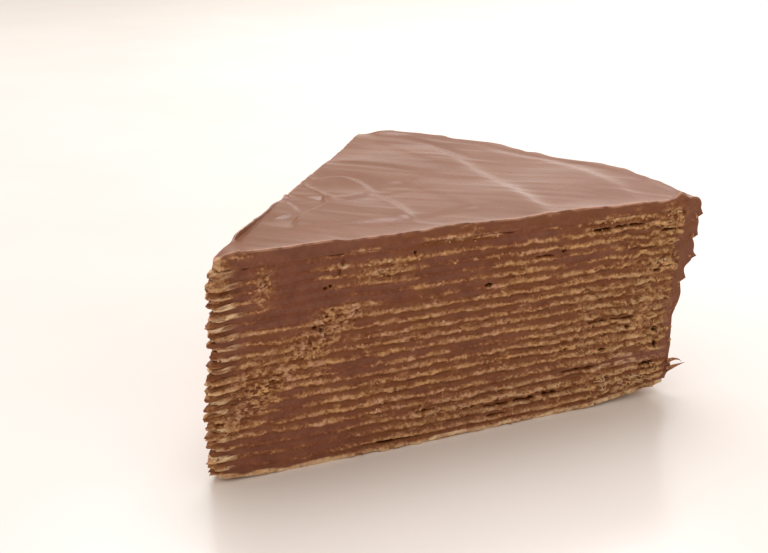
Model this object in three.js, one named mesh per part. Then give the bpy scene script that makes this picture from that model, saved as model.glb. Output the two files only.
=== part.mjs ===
// A slice of layered wafer cake, lying as served on its bottom wafer.
// Thin round wafers alternate with chocolate cream, and one chocolate coat covers the top and the round rim.
// Millimetres, +Z up. The slice's bisector is +X, from the tip to the rim.
// The cut faces are its -Y and +Y sides, and the origin is on the underside, on the bisector.
import * as THREE from "three";

// Driving dimensions
const WAFER_RADIUS = 109;
const SLICE_ANGLE = THREE.MathUtils.degToRad(53.6);
const WAFER_COUNT = 21;
const WAFER_THICKNESS = 1.15;
const CREAM_THICKNESS = 1.0;
const THICKNESS_SPREAD = 0.14; // share by which one layer differs from the next
const LAYER_GAP = 0.02; // hairline between two layers
const ORIGIN_FROM_TIP = 60;

// The coat of chocolate
const ICING_THICKNESS = 2.5;
const ICING_RELIEF = 0.5; // height of the spatula ridges
const BOW_CENTRE = { x: 20, y: -95 }; // point that the spatula's bows curve round
const BOW_SPACING = 33;
const SWELL_LENGTH = 110;
const RIM_COAT = { shoulder: 4, foot: 0.9 }; // thickness of the coat on the rim
const RIM_COAT_TAPER = 2.5; // how soon it thins below the shoulder
const RIM_COAT_LUMPS = 0.2; // lumps as a share of that thickness
const LUMP_WIDTH = 30;
const LUMP_HEIGHT = 26;
const RIM_COAT_GAP = 0.15; // hairline between the wafers' ends and the coat
const RIM_SHOULDER = 2.2; // radius of the edge between top and rim
const COAT_FOOT = 3.7; // height of the rim coat's lower edge

// How far the soft slice has leaned and bent
const LEAN = 4.6; // how far the top has slid towards the rim
const TIP_LIFT = 1.3; // rise of the underside at the tip
const TIP_FOLD = 16; // distance from the tip where that rise starts
const RIM_LIFT = 2.8; // rise of the underside at the rim
const RIM_FOLD = 86; // distance from the tip where that rise starts
const LIFT_FADE = 14; // height at which the layers are flat again

// Ragged cut edges: mean offset from the cut plane and spread about it
// The nose is where the layer ends at the tip, as a distance from the point where the cut planes meet
const WAFER_EDGE = { offset: -0.3, spread: 0.35, nose: 2.7 };
const CREAM_EDGE = { offset: 0.15, spread: 0.3, nose: 1.1 };
const NOSE_SPREAD = 0.55;
const LEAST_NOSE = 0.6;
const EDGE_FADE = 9; // distance from the tip over which the offsets grow to full size

// Division of the outlines
const FACE_STEPS = { tip: 3, middle: 12, rim: 4 };
const RIM_SECTORS = 4;
const ARC_STEPS = 3; // steps of the rim arc in each sector
const COAT_RADIAL_STEPS = 15;
const COAT_WALL_STEPS = 7;
const SHOULDER_STEPS = 3;

// Seeds of the random draws
const THICKNESS_SEED = 4000;
const LAYER_SEED = 1000; // from one layer to the next
const FACE_SEED = 100; // from one cut face to the other

const HALF_ANGLE = SLICE_ANGLE / 2;
const SECTOR = SLICE_ANGLE / RIM_SECTORS;
const ARC_COUNT = RIM_SECTORS * ARC_STEPS;
const STACK_HEIGHT =
  WAFER_COUNT * WAFER_THICKNESS + (WAFER_COUNT - 1) * CREAM_THICKNESS;
const TOTAL_HEIGHT = STACK_HEIGHT + ICING_THICKNESS;

const MATERIALS = {
  wafer: new THREE.MeshStandardMaterial({ color: 0xb98d57, roughness: 0.9 }),
  cream: new THREE.MeshStandardMaterial({ color: 0x70422c, roughness: 0.6 }),
  coat: new THREE.MeshStandardMaterial({ color: 0x6b3f2e, roughness: 0.4 }),
};

// A repeatable random number from 0 to 1 for a whole-number seed.
function randomOf(seed) {
  let t = (seed * 0x9e3779b1) | 0;
  t = Math.imul(t ^ (t >>> 15), t | 1);
  t ^= t + Math.imul(t ^ (t >>> 7), t | 61);
  return ((t ^ (t >>> 14)) >>> 0) / 4294967296;
}

const spreadOf = (seed) => 2 * randomOf(seed) - 1;

const polar = (distance, angle) =>
  new THREE.Vector2(distance * Math.cos(angle), distance * Math.sin(angle));

// Distance from the cake's axis, measured across the flat sector that a point lies in.
function sectorDistance(point) {
  let most = -Infinity;
  for (let k = 0; k < RIM_SECTORS; k++) {
    const middle = -HALF_ANGLE + (k + 0.5) * SECTOR;
    most = Math.max(most, point.x * Math.cos(middle) + point.y * Math.sin(middle));
  }
  return most;
}

// How far a plan point of a layer at this height is bent up.
// The bent parts are flat: one facet at the tip and one in each sector of the rim.
function liftAt(point, height) {
  const fade = Math.max(0, 1 - height / LIFT_FADE);
  const tip = Math.max(0, (TIP_FOLD - point.x) / TIP_FOLD) * TIP_LIFT;
  const inner = RIM_FOLD * Math.cos(SECTOR / 2);
  const outer = WAFER_RADIUS * Math.cos(SECTOR / 2);
  const rim = Math.max(0, (sectorDistance(point) - inner) / (outer - inner)) * RIM_LIFT;
  return fade * (tip + rim);
}

// Slides a point towards the rim by its height, and moves the origin from the tip to the underside's middle.
function place(x, y, z) {
  return [x + (LEAN * z) / TOTAL_HEIGHT - ORIGIN_FROM_TIP, y, z];
}

function geometryOf(positions, triangles) {
  const geometry = new THREE.BufferGeometry();
  geometry.setAttribute("position", new THREE.Float32BufferAttribute(positions, 3));
  geometry.setIndex(triangles);
  geometry.computeVertexNormals();
  return geometry;
}

// The distances from the tip at which a cut edge has a corner, with the two folds among them.
function faceStations(nose) {
  const tipFold = TIP_FOLD / Math.cos(HALF_ANGLE);
  const stretches = [
    [nose, tipFold, FACE_STEPS.tip],
    [tipFold, RIM_FOLD, FACE_STEPS.middle],
    [RIM_FOLD, WAFER_RADIUS, FACE_STEPS.rim],
  ];
  const stations = [nose];
  for (const [from, to, steps] of stretches)
    for (let i = 1; i <= steps; i++) stations.push(from + ((to - from) * i) / steps);
  return stations;
}

const TIP_FOLD_STATION = FACE_STEPS.tip;
const RIM_FOLD_STATION = FACE_STEPS.tip + FACE_STEPS.middle;

// One ragged cut edge from nose to rim. The side is -1 for the front face and 1 for the back face.
function cutEdge(edge, side, stations, seed) {
  const angle = side * HALF_ANGLE;
  const outward = polar(1, angle + (side * Math.PI) / 2);
  return stations.map((distance, i) => {
    const point = polar(distance, angle);
    if (i === TIP_FOLD_STATION || i === RIM_FOLD_STATION) return point;
    const share = Math.min(1, distance / EDGE_FADE);
    const offset = share * (edge.offset + edge.spread * spreadOf(seed + i));
    return point.addScaledVector(outward, offset);
  });
}

// The plan of one layer: its corner points, its outline as a loop, and the flat regions it folds into.
function layerPlan(edge, seed) {
  const nose = Math.max(LEAST_NOSE, edge.nose + NOSE_SPREAD * spreadOf(seed));
  const stations = faceStations(nose);
  const last = stations.length - 1;
  const points = [...cutEdge(edge, -1, stations, seed + FACE_SEED)];
  const front = (i) => i;
  const arcStart = points.length;
  for (let a = 1; a < ARC_COUNT; a++)
    points.push(polar(WAFER_RADIUS, -HALF_ANGLE + (a * SLICE_ANGLE) / ARC_COUNT));
  const arc = (a) => (a === 0 ? front(last) : a === ARC_COUNT ? back(last) : arcStart + a - 1);
  const backStart = points.length;
  points.push(...cutEdge(edge, 1, stations, seed + 2 * FACE_SEED));
  const back = (i) => backStart + i;
  const foldStart = points.length;
  for (let k = 1; k < RIM_SECTORS; k++)
    points.push(polar(RIM_FOLD, -HALF_ANGLE + k * SECTOR));
  const fold = (k) =>
    k === 0 ? front(RIM_FOLD_STATION)
    : k === RIM_SECTORS ? back(RIM_FOLD_STATION)
    : foldStart + k - 1;

  const range = (from, to) =>
    Array.from({ length: Math.abs(to - from) + 1 }, (_, i) => from + i * Math.sign(to - from));
  const outline = [
    ...range(0, last).map(front),
    ...range(1, ARC_COUNT - 1).map(arc),
    ...range(last, 0).map(back),
  ];
  const regions = [
    [...range(0, TIP_FOLD_STATION).map(front), ...range(TIP_FOLD_STATION, 0).map(back)],
    [
      ...range(TIP_FOLD_STATION, RIM_FOLD_STATION).map(front),
      ...range(1, RIM_SECTORS - 1).map(fold),
      ...range(RIM_FOLD_STATION, TIP_FOLD_STATION).map(back),
    ],
  ];
  for (let k = 0; k < RIM_SECTORS; k++) {
    const frontSide = k === 0 ? range(RIM_FOLD_STATION, last).map(front) : [fold(k), arc(k * ARC_STEPS)];
    const backSide = k === RIM_SECTORS - 1
      ? range(last, RIM_FOLD_STATION).map(back)
      : [arc((k + 1) * ARC_STEPS), fold(k + 1)];
    const between = range(k * ARC_STEPS + 1, (k + 1) * ARC_STEPS - 1).map(arc);
    regions.push([...frontSide, ...between, ...backSide]);
  }
  return { points, outline, regions };
}

// A closed layer between two heights, its faces folded up at the tip and the rim.
function layerGeometry(plan, low, high) {
  const { points, outline, regions } = plan;
  const positions = [];
  for (const height of [low, high])
    for (const point of points)
      positions.push(...place(point.x, point.y, height + liftAt(point, height)));
  const top = points.length;
  const triangles = [];
  for (const region of regions)
    for (const [a, b, c] of THREE.ShapeUtils.triangulateShape(region.map((i) => points[i]), [])) {
      const [i, j, k] = [region[a], region[b], region[c]];
      triangles.push(i + top, j + top, k + top, i, k, j);
    }
  outline.forEach((i, n) => {
    const j = outline[(n + 1) % outline.length];
    triangles.push(i, j, j + top, i, j + top, i + top);
  });
  return geometryOf(positions, triangles);
}

const wave = (distance, length) => Math.sin((2 * Math.PI * distance) / length);

// Height of the icing's relief at a plan point: spatula bows that cross the slice, over a slow swell.
function spatulaRelief(x, y) {
  const bow = wave(Math.hypot(x - BOW_CENTRE.x, y - BOW_CENTRE.y), BOW_SPACING);
  const swell = wave(x, SWELL_LENGTH) * wave(y + SWELL_LENGTH / 4, SWELL_LENGTH);
  return (ICING_RELIEF * (bow + swell)) / 2;
}

// Thickness of the coat on the rim at an angle and a height: lumpy, and thicker towards the shoulder.
function rimCoatThickness(angle, height) {
  const along = angle * WAFER_RADIUS;
  const slanted = along + (height * LUMP_WIDTH) / LUMP_HEIGHT;
  const lump = RIM_COAT_LUMPS * wave(slanted, LUMP_WIDTH) * wave(height + along / 3, LUMP_HEIGHT);
  const share = (height - COAT_FOOT) / (TOTAL_HEIGHT - RIM_SHOULDER - COAT_FOOT);
  return THREE.MathUtils.lerp(RIM_COAT.foot, RIM_COAT.shoulder, share ** RIM_COAT_TAPER) * (1 + lump);
}

// The coat's section at one angle, as distances and heights.
// It runs along the underside, down the inner wall, up the outer wall, over the shoulder and back on top.
function coatSection(angle) {
  const under = STACK_HEIGHT + LAYER_GAP;
  const inner = WAFER_RADIUS + RIM_COAT_GAP;
  const outerAt = (height) => inner + rimCoatThickness(angle, height);
  const topAt = (distance) => {
    const { x, y } = polar(distance, angle);
    return TOTAL_HEIGHT + spatulaRelief(x, y);
  };
  const section = [
    [CREAM_EDGE.nose, under],
    [inner, under],
    [inner, COAT_FOOT],
  ];
  const shoulderFoot = TOTAL_HEIGHT - RIM_SHOULDER;
  for (let i = 0; i <= COAT_WALL_STEPS; i++) {
    const height = COAT_FOOT + ((shoulderFoot - COAT_FOOT) * i) / COAT_WALL_STEPS;
    section.push([outerAt(height), height]);
  }
  const shoulderIn = outerAt(shoulderFoot) - RIM_SHOULDER;
  const shoulderTop = topAt(shoulderIn);
  for (let i = 1; i < SHOULDER_STEPS; i++) {
    const turn = ((i / SHOULDER_STEPS) * Math.PI) / 2;
    section.push([
      shoulderIn + RIM_SHOULDER * Math.cos(turn),
      shoulderFoot + (shoulderTop - shoulderFoot) * Math.sin(turn),
    ]);
  }
  for (let i = COAT_RADIAL_STEPS; i >= 0; i--) {
    const distance = CREAM_EDGE.nose + ((shoulderIn - CREAM_EDGE.nose) * i) / COAT_RADIAL_STEPS;
    section.push([distance, topAt(distance)]);
  }
  return section;
}

// The coat: its section carried round the slice from one cut face to the other, and capped at both.
function coatGeometry() {
  const positions = [];
  const triangles = [];
  let size = 0;
  for (let a = 0; a <= ARC_COUNT; a++) {
    const angle = -HALF_ANGLE + (a * SLICE_ANGLE) / ARC_COUNT;
    const section = coatSection(angle);
    size = section.length;
    for (const [distance, height] of section) {
      const { x, y } = polar(distance, angle);
      positions.push(...place(x, y, height));
    }
  }
  for (let a = 0; a < ARC_COUNT; a++)
    for (let i = 0; i < size; i++) {
      const j = (i + 1) % size;
      const [p, q, r, s] = [a * size + i, a * size + j, (a + 1) * size + j, (a + 1) * size + i];
      triangles.push(p, r, q, p, s, r);
    }
  const capTriangles = (angle) => {
    const section = coatSection(angle);
    const corners = section.map(([distance, height]) => new THREE.Vector2(distance, height));
    return THREE.ShapeUtils.triangulateShape(corners, []);
  };
  const end = ARC_COUNT * size;
  for (const [i, j, k] of capTriangles(-HALF_ANGLE)) triangles.push(i, j, k);
  for (const [i, j, k] of capTriangles(HALF_ANGLE)) triangles.push(end + i, end + k, end + j);
  return geometryOf(positions, triangles);
}

// The heights between layers, from the underside up. The uneven layers still add up to the whole stack.
function layerHeights() {
  const count = 2 * WAFER_COUNT - 1;
  const wanted = Array.from({ length: count }, (_, i) => {
    const thickness = i % 2 ? CREAM_THICKNESS : WAFER_THICKNESS;
    return thickness * (1 + THICKNESS_SPREAD * spreadOf(THICKNESS_SEED + i));
  });
  const share = STACK_HEIGHT / wanted.reduce((sum, t) => sum + t, 0);
  const heights = [0];
  for (const thickness of wanted) heights.push(heights.at(-1) + thickness * share);
  return heights;
}

function addPart(group, name, geometry, material) {
  const mesh = new THREE.Mesh(geometry, material);
  mesh.name = name;
  group.add(mesh);
}

const slice = new THREE.Group();
slice.name = "wafer_cake_slice";
const heights = layerHeights();
for (let i = 0; i < heights.length - 1; i++) {
  const isCream = i % 2 === 1;
  const kind = isCream ? "cream" : "wafer";
  const number = String(Math.floor(i / 2) + 1).padStart(2, "0");
  const plan = layerPlan(isCream ? CREAM_EDGE : WAFER_EDGE, LAYER_SEED * (i + 1));
  const geometry = layerGeometry(plan, heights[i], heights[i + 1] - LAYER_GAP);
  addPart(slice, `${kind}_${number}`, geometry, MATERIALS[kind]);
}
addPart(slice, "chocolate_coat", coatGeometry(), MATERIALS.coat);

export default slice;
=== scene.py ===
"""A slice of wafer cake: ragged wafers and chocolate cream under a spread coat, on a pale floor."""
import math

import bpy
import numpy as np
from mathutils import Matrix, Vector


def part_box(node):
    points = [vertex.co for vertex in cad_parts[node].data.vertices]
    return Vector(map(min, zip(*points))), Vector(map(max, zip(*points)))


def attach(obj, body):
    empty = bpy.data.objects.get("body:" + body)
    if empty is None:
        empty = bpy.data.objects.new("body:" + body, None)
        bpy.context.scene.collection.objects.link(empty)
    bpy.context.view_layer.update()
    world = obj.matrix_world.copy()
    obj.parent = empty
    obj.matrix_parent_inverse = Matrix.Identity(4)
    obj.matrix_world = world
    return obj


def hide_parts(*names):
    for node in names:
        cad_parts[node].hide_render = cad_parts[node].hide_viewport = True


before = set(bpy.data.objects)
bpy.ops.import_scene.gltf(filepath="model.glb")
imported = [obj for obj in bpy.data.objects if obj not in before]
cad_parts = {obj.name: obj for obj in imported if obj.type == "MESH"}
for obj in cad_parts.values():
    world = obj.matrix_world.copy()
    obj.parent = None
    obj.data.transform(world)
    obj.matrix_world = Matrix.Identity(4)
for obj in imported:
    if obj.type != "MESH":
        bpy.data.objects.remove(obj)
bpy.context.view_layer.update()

# Sizes of the slice, in millimetres
MM = 0.001
HALF_ANGLE = math.radians(53.6) / 2
TIP_X = -60.0  # the axis where the cut planes meet, in the part's frame
WAFER_RADIUS = 109.0
LEAN = 4.6  # how far the top has slid towards the rim
TIP_LIFT = 1.3  # how far the bottom layers bend up at the tip, from the fold on
TIP_FOLD = 16.0
RIM_LIFT = 2.8  # and at the rim
RIM_FOLD = 86.0
LIFT_FADE = 14.0  # height above which the layers are no longer bent up
TIP_REACH = 4.5  # how far from the axis the layers swell and droop at the tip
TIP_DROOP = 0.5
CREAM_SWELL = 0.2  # how far the cream at the tip swells into the wafers

WAFER_COUNT = 21
LAYERS = [f"{kind}_{n:02d}" for n in range(1, WAFER_COUNT + 1) for kind in ("wafer", "cream")][:-1]
COAT = "chocolate_coat"


def node_box(node):
    """Lowest and highest corner of a node, in millimetres."""
    low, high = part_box(node)
    return np.array(low) / MM, np.array(high) / MM


HEIGHTS = np.array([node_box(n)[0][2] for n in LAYERS] + [node_box(LAYERS[-1])[1][2]])
STACK_TOP = HEIGHTS[-1]
ICING_THICKNESS = 2.5
TOTAL_HEIGHT = STACK_TOP + ICING_THICKNESS

# Directions of the two cut faces seen from above: along the face from the tip, and out of it
SIDES = (-1, 1)
ALONG = {s: np.array([math.cos(HALF_ANGLE), s * math.sin(HALF_ANGLE)]) for s in SIDES}
OUTWARD = {s: np.array([-math.sin(HALF_ANGLE), s * math.cos(HALF_ANGLE)]) for s in SIDES}


# Random fields

def lattice(ix, iy, iz, seed):
    """A repeatable random number from 0 to 1 at each point of a whole-number lattice, by hashing."""
    h = ix.astype(np.uint32) * np.uint32(0x8DA6B343)
    h ^= iy.astype(np.uint32) * np.uint32(0xD8163841)
    h ^= iz.astype(np.uint32) * np.uint32(0xCB1AB31F)
    h ^= np.uint32((seed * 0x9E3779B1 + 0x7F4A7C15) & 0xFFFFFFFF)
    for shift, factor in ((15, 0x2C1B3C6D), (12, 0x297A2D39)):
        h ^= h >> np.uint32(shift)
        h *= np.uint32(factor)
    h ^= h >> np.uint32(15)
    return h.astype(np.float64) / 4294967296.0


def noise(x, y, z=0.0, seed=0):
    """Smooth noise from -1 to 1: the lattice's numbers, eased between the eight corners of a cell."""
    x, y, z = np.broadcast_arrays(*(np.asarray(a, dtype=float) for a in (x, y, z)))
    cells = [np.floor(a).astype(np.int64) for a in (x, y, z)]
    parts = [a - c for a, c in zip((x, y, z), cells)]
    eased = [p * p * p * (p * (6 * p - 15) + 10) for p in parts]
    total = np.zeros(x.shape)
    for corner in range(8):
        bits = [(corner >> k) & 1 for k in range(3)]
        weight = np.ones(x.shape)
        for e, b in zip(eased, bits):
            weight = weight * (e if b else 1 - e)
        total += weight * lattice(*(c + b for c, b in zip(cells, bits)), seed)
    return 2 * total - 1


def rough_noise(x, y, z=0.0, seed=0, octaves=3):
    """Several layers of noise, each half as large and as strong as the last, from about -1 to 1."""
    sizes = [2 ** k for k in range(octaves)]
    parts = [noise(x * s, y * s, z * s, seed + 17 * k) / s for k, s in enumerate(sizes)]
    return sum(parts) / 1.5


def ease(low, high, x):
    """0 up to low, 1 from high on and an S-curve between them. With high below low it falls instead."""
    t = np.clip((x - low) / (high - low), 0, 1)
    return t * t * (3 - 2 * t)


def span(x, start, full, fading, end):
    """1 between full and fading, eased to 0 at start and at end."""
    return ease(start, full, x) * ease(end, fading, x)


def blob(x, y, cx, cy, rx, ry):
    """A soft spot: 1 at its centre, falling as a bell to nothing at about twice its radii."""
    return np.exp(-((x - cx) / rx) ** 2 - ((y - cy) / ry) ** 2)


def bell(x, width):
    """A bell curve: 1 at zero, about a third at one width and nothing at two."""
    return np.exp(-(x / width) ** 2)


# The slice's form

def leaned(x, y, z):
    """Points in metres in the part's frame, each slid towards the rim by its height."""
    return np.stack([x + TIP_X + LEAN * z / TOTAL_HEIGHT, y, z], axis=-1) * MM


def lift(x, y, height):
    """How far layers at this height are bent up: a power curve from each fold to the tip or the rim."""
    fade = np.clip(1 - height / LIFT_FADE, 0, 1)
    tip = np.clip((TIP_FOLD - x) / TIP_FOLD, 0, 1) ** 1.4 * TIP_LIFT
    rim = np.clip((np.hypot(x, y) - RIM_FOLD) / (WAFER_RADIUS - RIM_FOLD), 0, 1) ** 1.3 * RIM_LIFT
    return fade * (tip + rim)


def seam_waves(x, y):
    """Waves of the face between the top wafer and the icing."""
    return 0.22 * noise(x / 7, y / 7, seed=8) + 0.16 * noise(x / 2.2, y / 2.2, seed=9)


def interface(level, x, y):
    """Height of the face between two layers: flat, bent up at the ends, with slow waves and crinkles.
    At the tip the cream swells and the layers droop. The face under the icing has waves of its own."""
    base = HEIGHTS[level]
    if level == len(LAYERS):
        return base + seam_waves(x, y)
    calm = ease(0.0, 5.0, base) * ease(0.0, 2.0, STACK_TOP - base)
    slow = 0.38 * noise(x / 12, y / 12, base / 9, seed=3)
    crinkle = 0.17 * noise(x / 3.4, y / 3.4, level * 7.3, seed=5)
    crinkle = crinkle + 0.07 * noise(x / 1.2, y / 1.2, level * 3.1, seed=6)
    tip = bell(np.hypot(x, y), TIP_REACH)
    swell = CREAM_SWELL * tip * (1 if level % 2 == 0 else -1)
    droop = TIP_DROOP * tip * ease(8, 16, base)
    return base + lift(x, y, base) + calm * (slow + crinkle + swell - droop)


# The cut faces, as distances along the face and heights in millimetres

CRACKS = (  # side, start, end, height, depth, half breadth
    (-1, 84.5, 94, 42.5, 1.6, 0.2),
    (-1, 94, 99, 41.6, 1.2, 0.16),
    (-1, 61.5, 66.5, 44.4, 0.9, 0.16),
    (-1, 86, 99.5, 20.1, 1.6, 0.2),
    (-1, 103, 107.5, 39.6, 1.2, 0.18),
    (-1, 70, 76, 37.6, 0.8, 0.14),
    (-1, 80, 90, 9.4, 1.2, 0.2),
    (-1, 101.5, 106, 7.2, 1.6, 0.32),
    (-1, 76, 85, 5.5, 1.4, 0.24),
    (-1, 61, 75, 5.0, 1.4, 0.22),
    (-1, 54, 60, 6.4, 1.3, 0.24),
    (-1, 46, 50.5, 7.1, 1.0, 0.2),
    (-1, 62, 68, 2.7, 1.0, 0.2),
    (-1, 31, 47, 2.4, 1.0, 0.2),
    (-1, 0.5, 8, 43.6, 0.9, 0.18),
    (-1, 23.5, 27.5, 44.0, 0.8, 0.15),
    (1, 19, 32, 38.0, 1.3, 0.2),
    (1, 61, 75, 24.0, 1.4, 0.22),
    (1, 87, 100, 12.0, 1.4, 0.22),
    (1, 44, 51, 8.0, 1.1, 0.2),
    (1, 69, 85, 3.5, 1.4, 0.28),
    (1, 95, 105, 34.0, 1.3, 0.2),
)
HOLES = (  # side, distance, height, half length, half height, depth
    (-1, 60.3, 33.2, 0.8, 0.33, 1.6),
    (-1, 23.5, 37.5, 0.35, 0.25, 0.9),
    (-1, 24.5, 37.8, 0.25, 0.25, 0.9),
    (-1, 21.6, 29.5, 0.4, 0.3, 0.8),
    (-1, 22.9, 28.9, 0.3, 0.4, 0.9),
    (-1, 42.7, 42.4, 0.25, 0.35, 0.8),
    (-1, 27.0, 42.3, 0.35, 0.6, 0.45),
    (-1, 26.3, 40.5, 0.3, 0.5, 0.45),
    (-1, 78.1, 38.3, 0.5, 0.25, 0.7),
    (-1, 103.2, 30.7, 0.9, 0.3, 0.9),
    (-1, 104.8, 16.5, 0.8, 0.4, 1.3),
    (-1, 91.7, 17.1, 0.7, 0.25, 0.7),
    (-1, 97.2, 18.1, 0.5, 0.3, 0.8),
    (-1, 81.2, 15.5, 0.5, 0.3, 0.6),
    (-1, 90.9, 13.7, 0.9, 0.25, 0.8),
    (-1, 105.6, 12.6, 0.4, 0.8, 1.0),
    (1, 48.0, 31.0, 0.8, 0.3, 1.0),
    (1, 27.0, 17.0, 0.5, 0.3, 0.8),
    (1, 92.0, 27.5, 0.9, 0.3, 1.0),
)
PATCHES = (  # side, how much barer, distance, height and radii along and up
    (-1, 0.6, 51.5, 44.2, 9.0, 1.0),
    (-1, 0.8, 35.5, 39.6, 5.5, 1.9),
    (-1, 0.5, 26.4, 31.7, 4.0, 1.3),
    (-1, 0.45, 10.5, 40.0, 2.2, 3.5),
    (-1, 0.4, 1.5, 41.5, 2.5, 2.5),
    (-1, 0.3, 36.0, 12.0, 8.0, 5.0),
    (-1, 0.2, 24.0, 20.0, 5.0, 4.0),
    (-1, -0.4, 17.5, 38.5, 5.5, 5.5),
    (-1, -0.2, 6.0, 34.5, 4.0, 4.0),
    (-1, 0.3, 8.0, 21.0, 5.0, 6.0),
    (-1, -0.3, 38.0, 34.5, 9.0, 3.0),
    (-1, -0.25, 50.0, 37.5, 9.0, 3.0),
    (-1, -0.25, 84.0, 37.0, 14.0, 3.0),
    (-1, -0.2, 72.0, 43.0, 12.0, 2.0),
    (-1, -0.2, 19.0, 5.0, 14.0, 3.6),
    (-1, 0.35, 62.0, 7.0, 14.0, 2.4),
    (-1, 0.2, 90.0, 6.5, 14.0, 3.0),
    (-1, 0.25, 93.0, 42.8, 12.0, 1.5),
    (-1, 0.45, 107.6, 42.0, 2.2, 2.4),
    (-1, 0.45, 105.5, 32.8, 3.6, 2.2),
    (-1, 0.35, 103.0, 17.0, 5.0, 4.0),
    (-1, 0.3, 94.0, 16.0, 12.0, 4.0),
    (-1, 0.2, 92.0, 25.0, 14.0, 5.0),
    (-1, -0.8, 90.0, 10.0, 12.0, 1.0),
    (-1, -0.9, 101.0, 10.6, 6.0, 1.7),
    (1, -0.4, 30.0, 30.0, 12.0, 9.0),
    (1, -0.3, 70.0, 15.0, 14.0, 6.0),
    (1, -0.3, 88.0, 38.0, 12.0, 3.0),
    (1, 0.4, 55.0, 36.0, 8.0, 3.0),
    (1, 0.4, 18.0, 14.0, 5.0, 5.0),
    (1, 0.35, 100.0, 20.0, 6.0, 6.0),
)
TORN = (  # places broken to loose crumbs: side, share, distance, height and radii along and up
    (-1, 0.9, 26.4, 31.7, 3.6, 1.2),
    (-1, 0.8, 10.5, 40.0, 2.0, 3.5),
    (-1, 0.9, 1.5, 41.5, 2.2, 2.4),
    (-1, 0.9, 35.5, 39.6, 5.0, 1.6),
    (-1, 0.7, 46.0, 7.5, 5.0, 2.0),
    (-1, 0.5, 8.5, 20.0, 4.5, 5.0),
    (-1, 2.2, 105.3, 32.4, 3.2, 1.8),
    (-1, 2.2, 106.8, 42.0, 2.4, 2.6),
    (-1, 0.4, 97.0, 33.6, 4.0, 1.6),
    (-1, 0.6, 103.0, 20.0, 4.0, 6.5),
    (-1, 0.4, 93.0, 27.5, 3.5, 1.2),
    (-1, 0.4, 90.5, 16.0, 5.0, 1.4),
    (-1, 0.6, 66.0, 4.0, 6.0, 1.2),
    (-1, 0.8, 5.0, 46.3, 3.5, 0.5),
    (-1, 0.8, 1.0, 45.2, 1.6, 1.5),
    (1, 0.8, 55.0, 36.0, 5.0, 2.5),
    (1, 0.8, 18.0, 14.0, 4.0, 4.0),
    (1, 0.8, 101.0, 20.0, 4.0, 5.0),
)
PALE_SPOTS = (  # clean flakes of wafer: side, share, distance, height and radii along and up
    (-1, 0.6, 67.0, 3.7, 5.0, 0.6),
    (-1, 0.7, 27.4, 41.3, 0.5, 0.9),
    (-1, 0.5, 35.5, 39.6, 4.0, 1.2),
    (-1, 0.8, 106.8, 42.0, 2.4, 2.4),
    (-1, 0.8, 105.3, 32.4, 3.0, 1.6),
    (-1, 0.5, 104.8, 14.8, 1.2, 2.0),
    (-1, 0.3, 97.0, 20.0, 12.0, 8.0),
    (-1, 0.5, 52.0, 44.2, 6.0, 0.5),
    (-1, 0.4, 66.0, 6.5, 20.0, 3.5),
    (-1, 0.4, 96.0, 8.0, 12.0, 7.0),
    (1, 0.5, 55.0, 36.0, 3.0, 1.2),
    (1, 0.5, 100.0, 20.0, 2.5, 2.0),
)
CRACK_TAPER = 1.5
BAND_POINT = (5.4, 13.2)  # distance and height of a point in the middle of the slanting band
BAND_SLANT = 1.19  # how far it moves along the face for each millimetre up
BAND_HALF_WIDTH = 5.2
BAND_HEIGHTS = (7, 11, 31, 35.5)
UNDER_ICING = 44.0  # height where the chocolate is smeared down from the icing
SMEAR_BORDER = 107.8  # where the smear from the rim's coat begins
SHATTERED = (78, 102)  # distances over which the wafers get more broken towards the rim


def knife_waves(side, u, z):
    """Slow outward waves of the whole cut face, left by the knife."""
    return 0.3 * noise(u / 24, z / 17, side * 5, seed=11) + 0.1 * noise(u / 6, z / 5, side * 5, seed=12)


def slanting_band(side, u, z):
    """A rough band on the front cut that runs slanting up from low at the tip, with soft edges."""
    middle = BAND_POINT[0] + BAND_SLANT * (z - BAND_POINT[1])
    return (side < 0) * bell(u - middle, BAND_HALF_WIDTH) * span(z, *BAND_HEIGHTS)


def exposed(side, u, z):
    """How bare and crumbly the cut is, from 0 to 1, by noise: more so at the very tip and the rim.
    Chocolate smears take away, and the slanting band and broken patches add.
    By the rim the coat's smear covers the wafers from a wandering border on."""
    bare = 0.34 + 0.24 * ease(18, 44, u) + 0.18 * ease(62, 104, u) + 0.4 * ease(5, 1, u)
    bare = bare + 0.22 * rough_noise(u / 11, z / 5, side * 9, seed=21)
    bare = bare + 0.2 * rough_noise(u / 4.5, z / 1.7, side * 9, seed=24, octaves=2)
    bare = bare - 0.18 * bell(z - UNDER_ICING, 1.3)
    border = SMEAR_BORDER - 0.9 * ease(27, 22, z) + 1.6 * ease(38, 41, z)
    border = border + 1.5 * noise(z / 3.0, side * 4.0, seed=22)
    border = border + 0.7 * noise(z / 0.9, side * 4.0, seed=26)
    smear = ease(-0.8, 0.8, u - border + 0.5 * noise(u / 1.2, z / 1.2, side * 4.0, seed=25))
    bare = bare + 0.45 * slanting_band(side, u, z) - 0.75 * smear
    for patch_side, amount, *spot in PATCHES:
        bare = bare + (side == patch_side) * amount * blob(u, z, *spot)
    return np.clip(bare, 0, 1)


def torn_share(side, u, z):
    """How far the cut is broken to loose crumbs that hide the layers, from 0 to 1, in ragged spots."""
    torn = 0.85 * slanting_band(side, u, z)
    for torn_side, share, *spot in TORN:
        torn = torn + (side == torn_side) * share * blob(u, z, *spot)
    return np.clip(torn * ease(-0.75, 0.05, rough_noise(u / 2.2, z / 1.3, side * 7, seed=23)), 0, 1)


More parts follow.
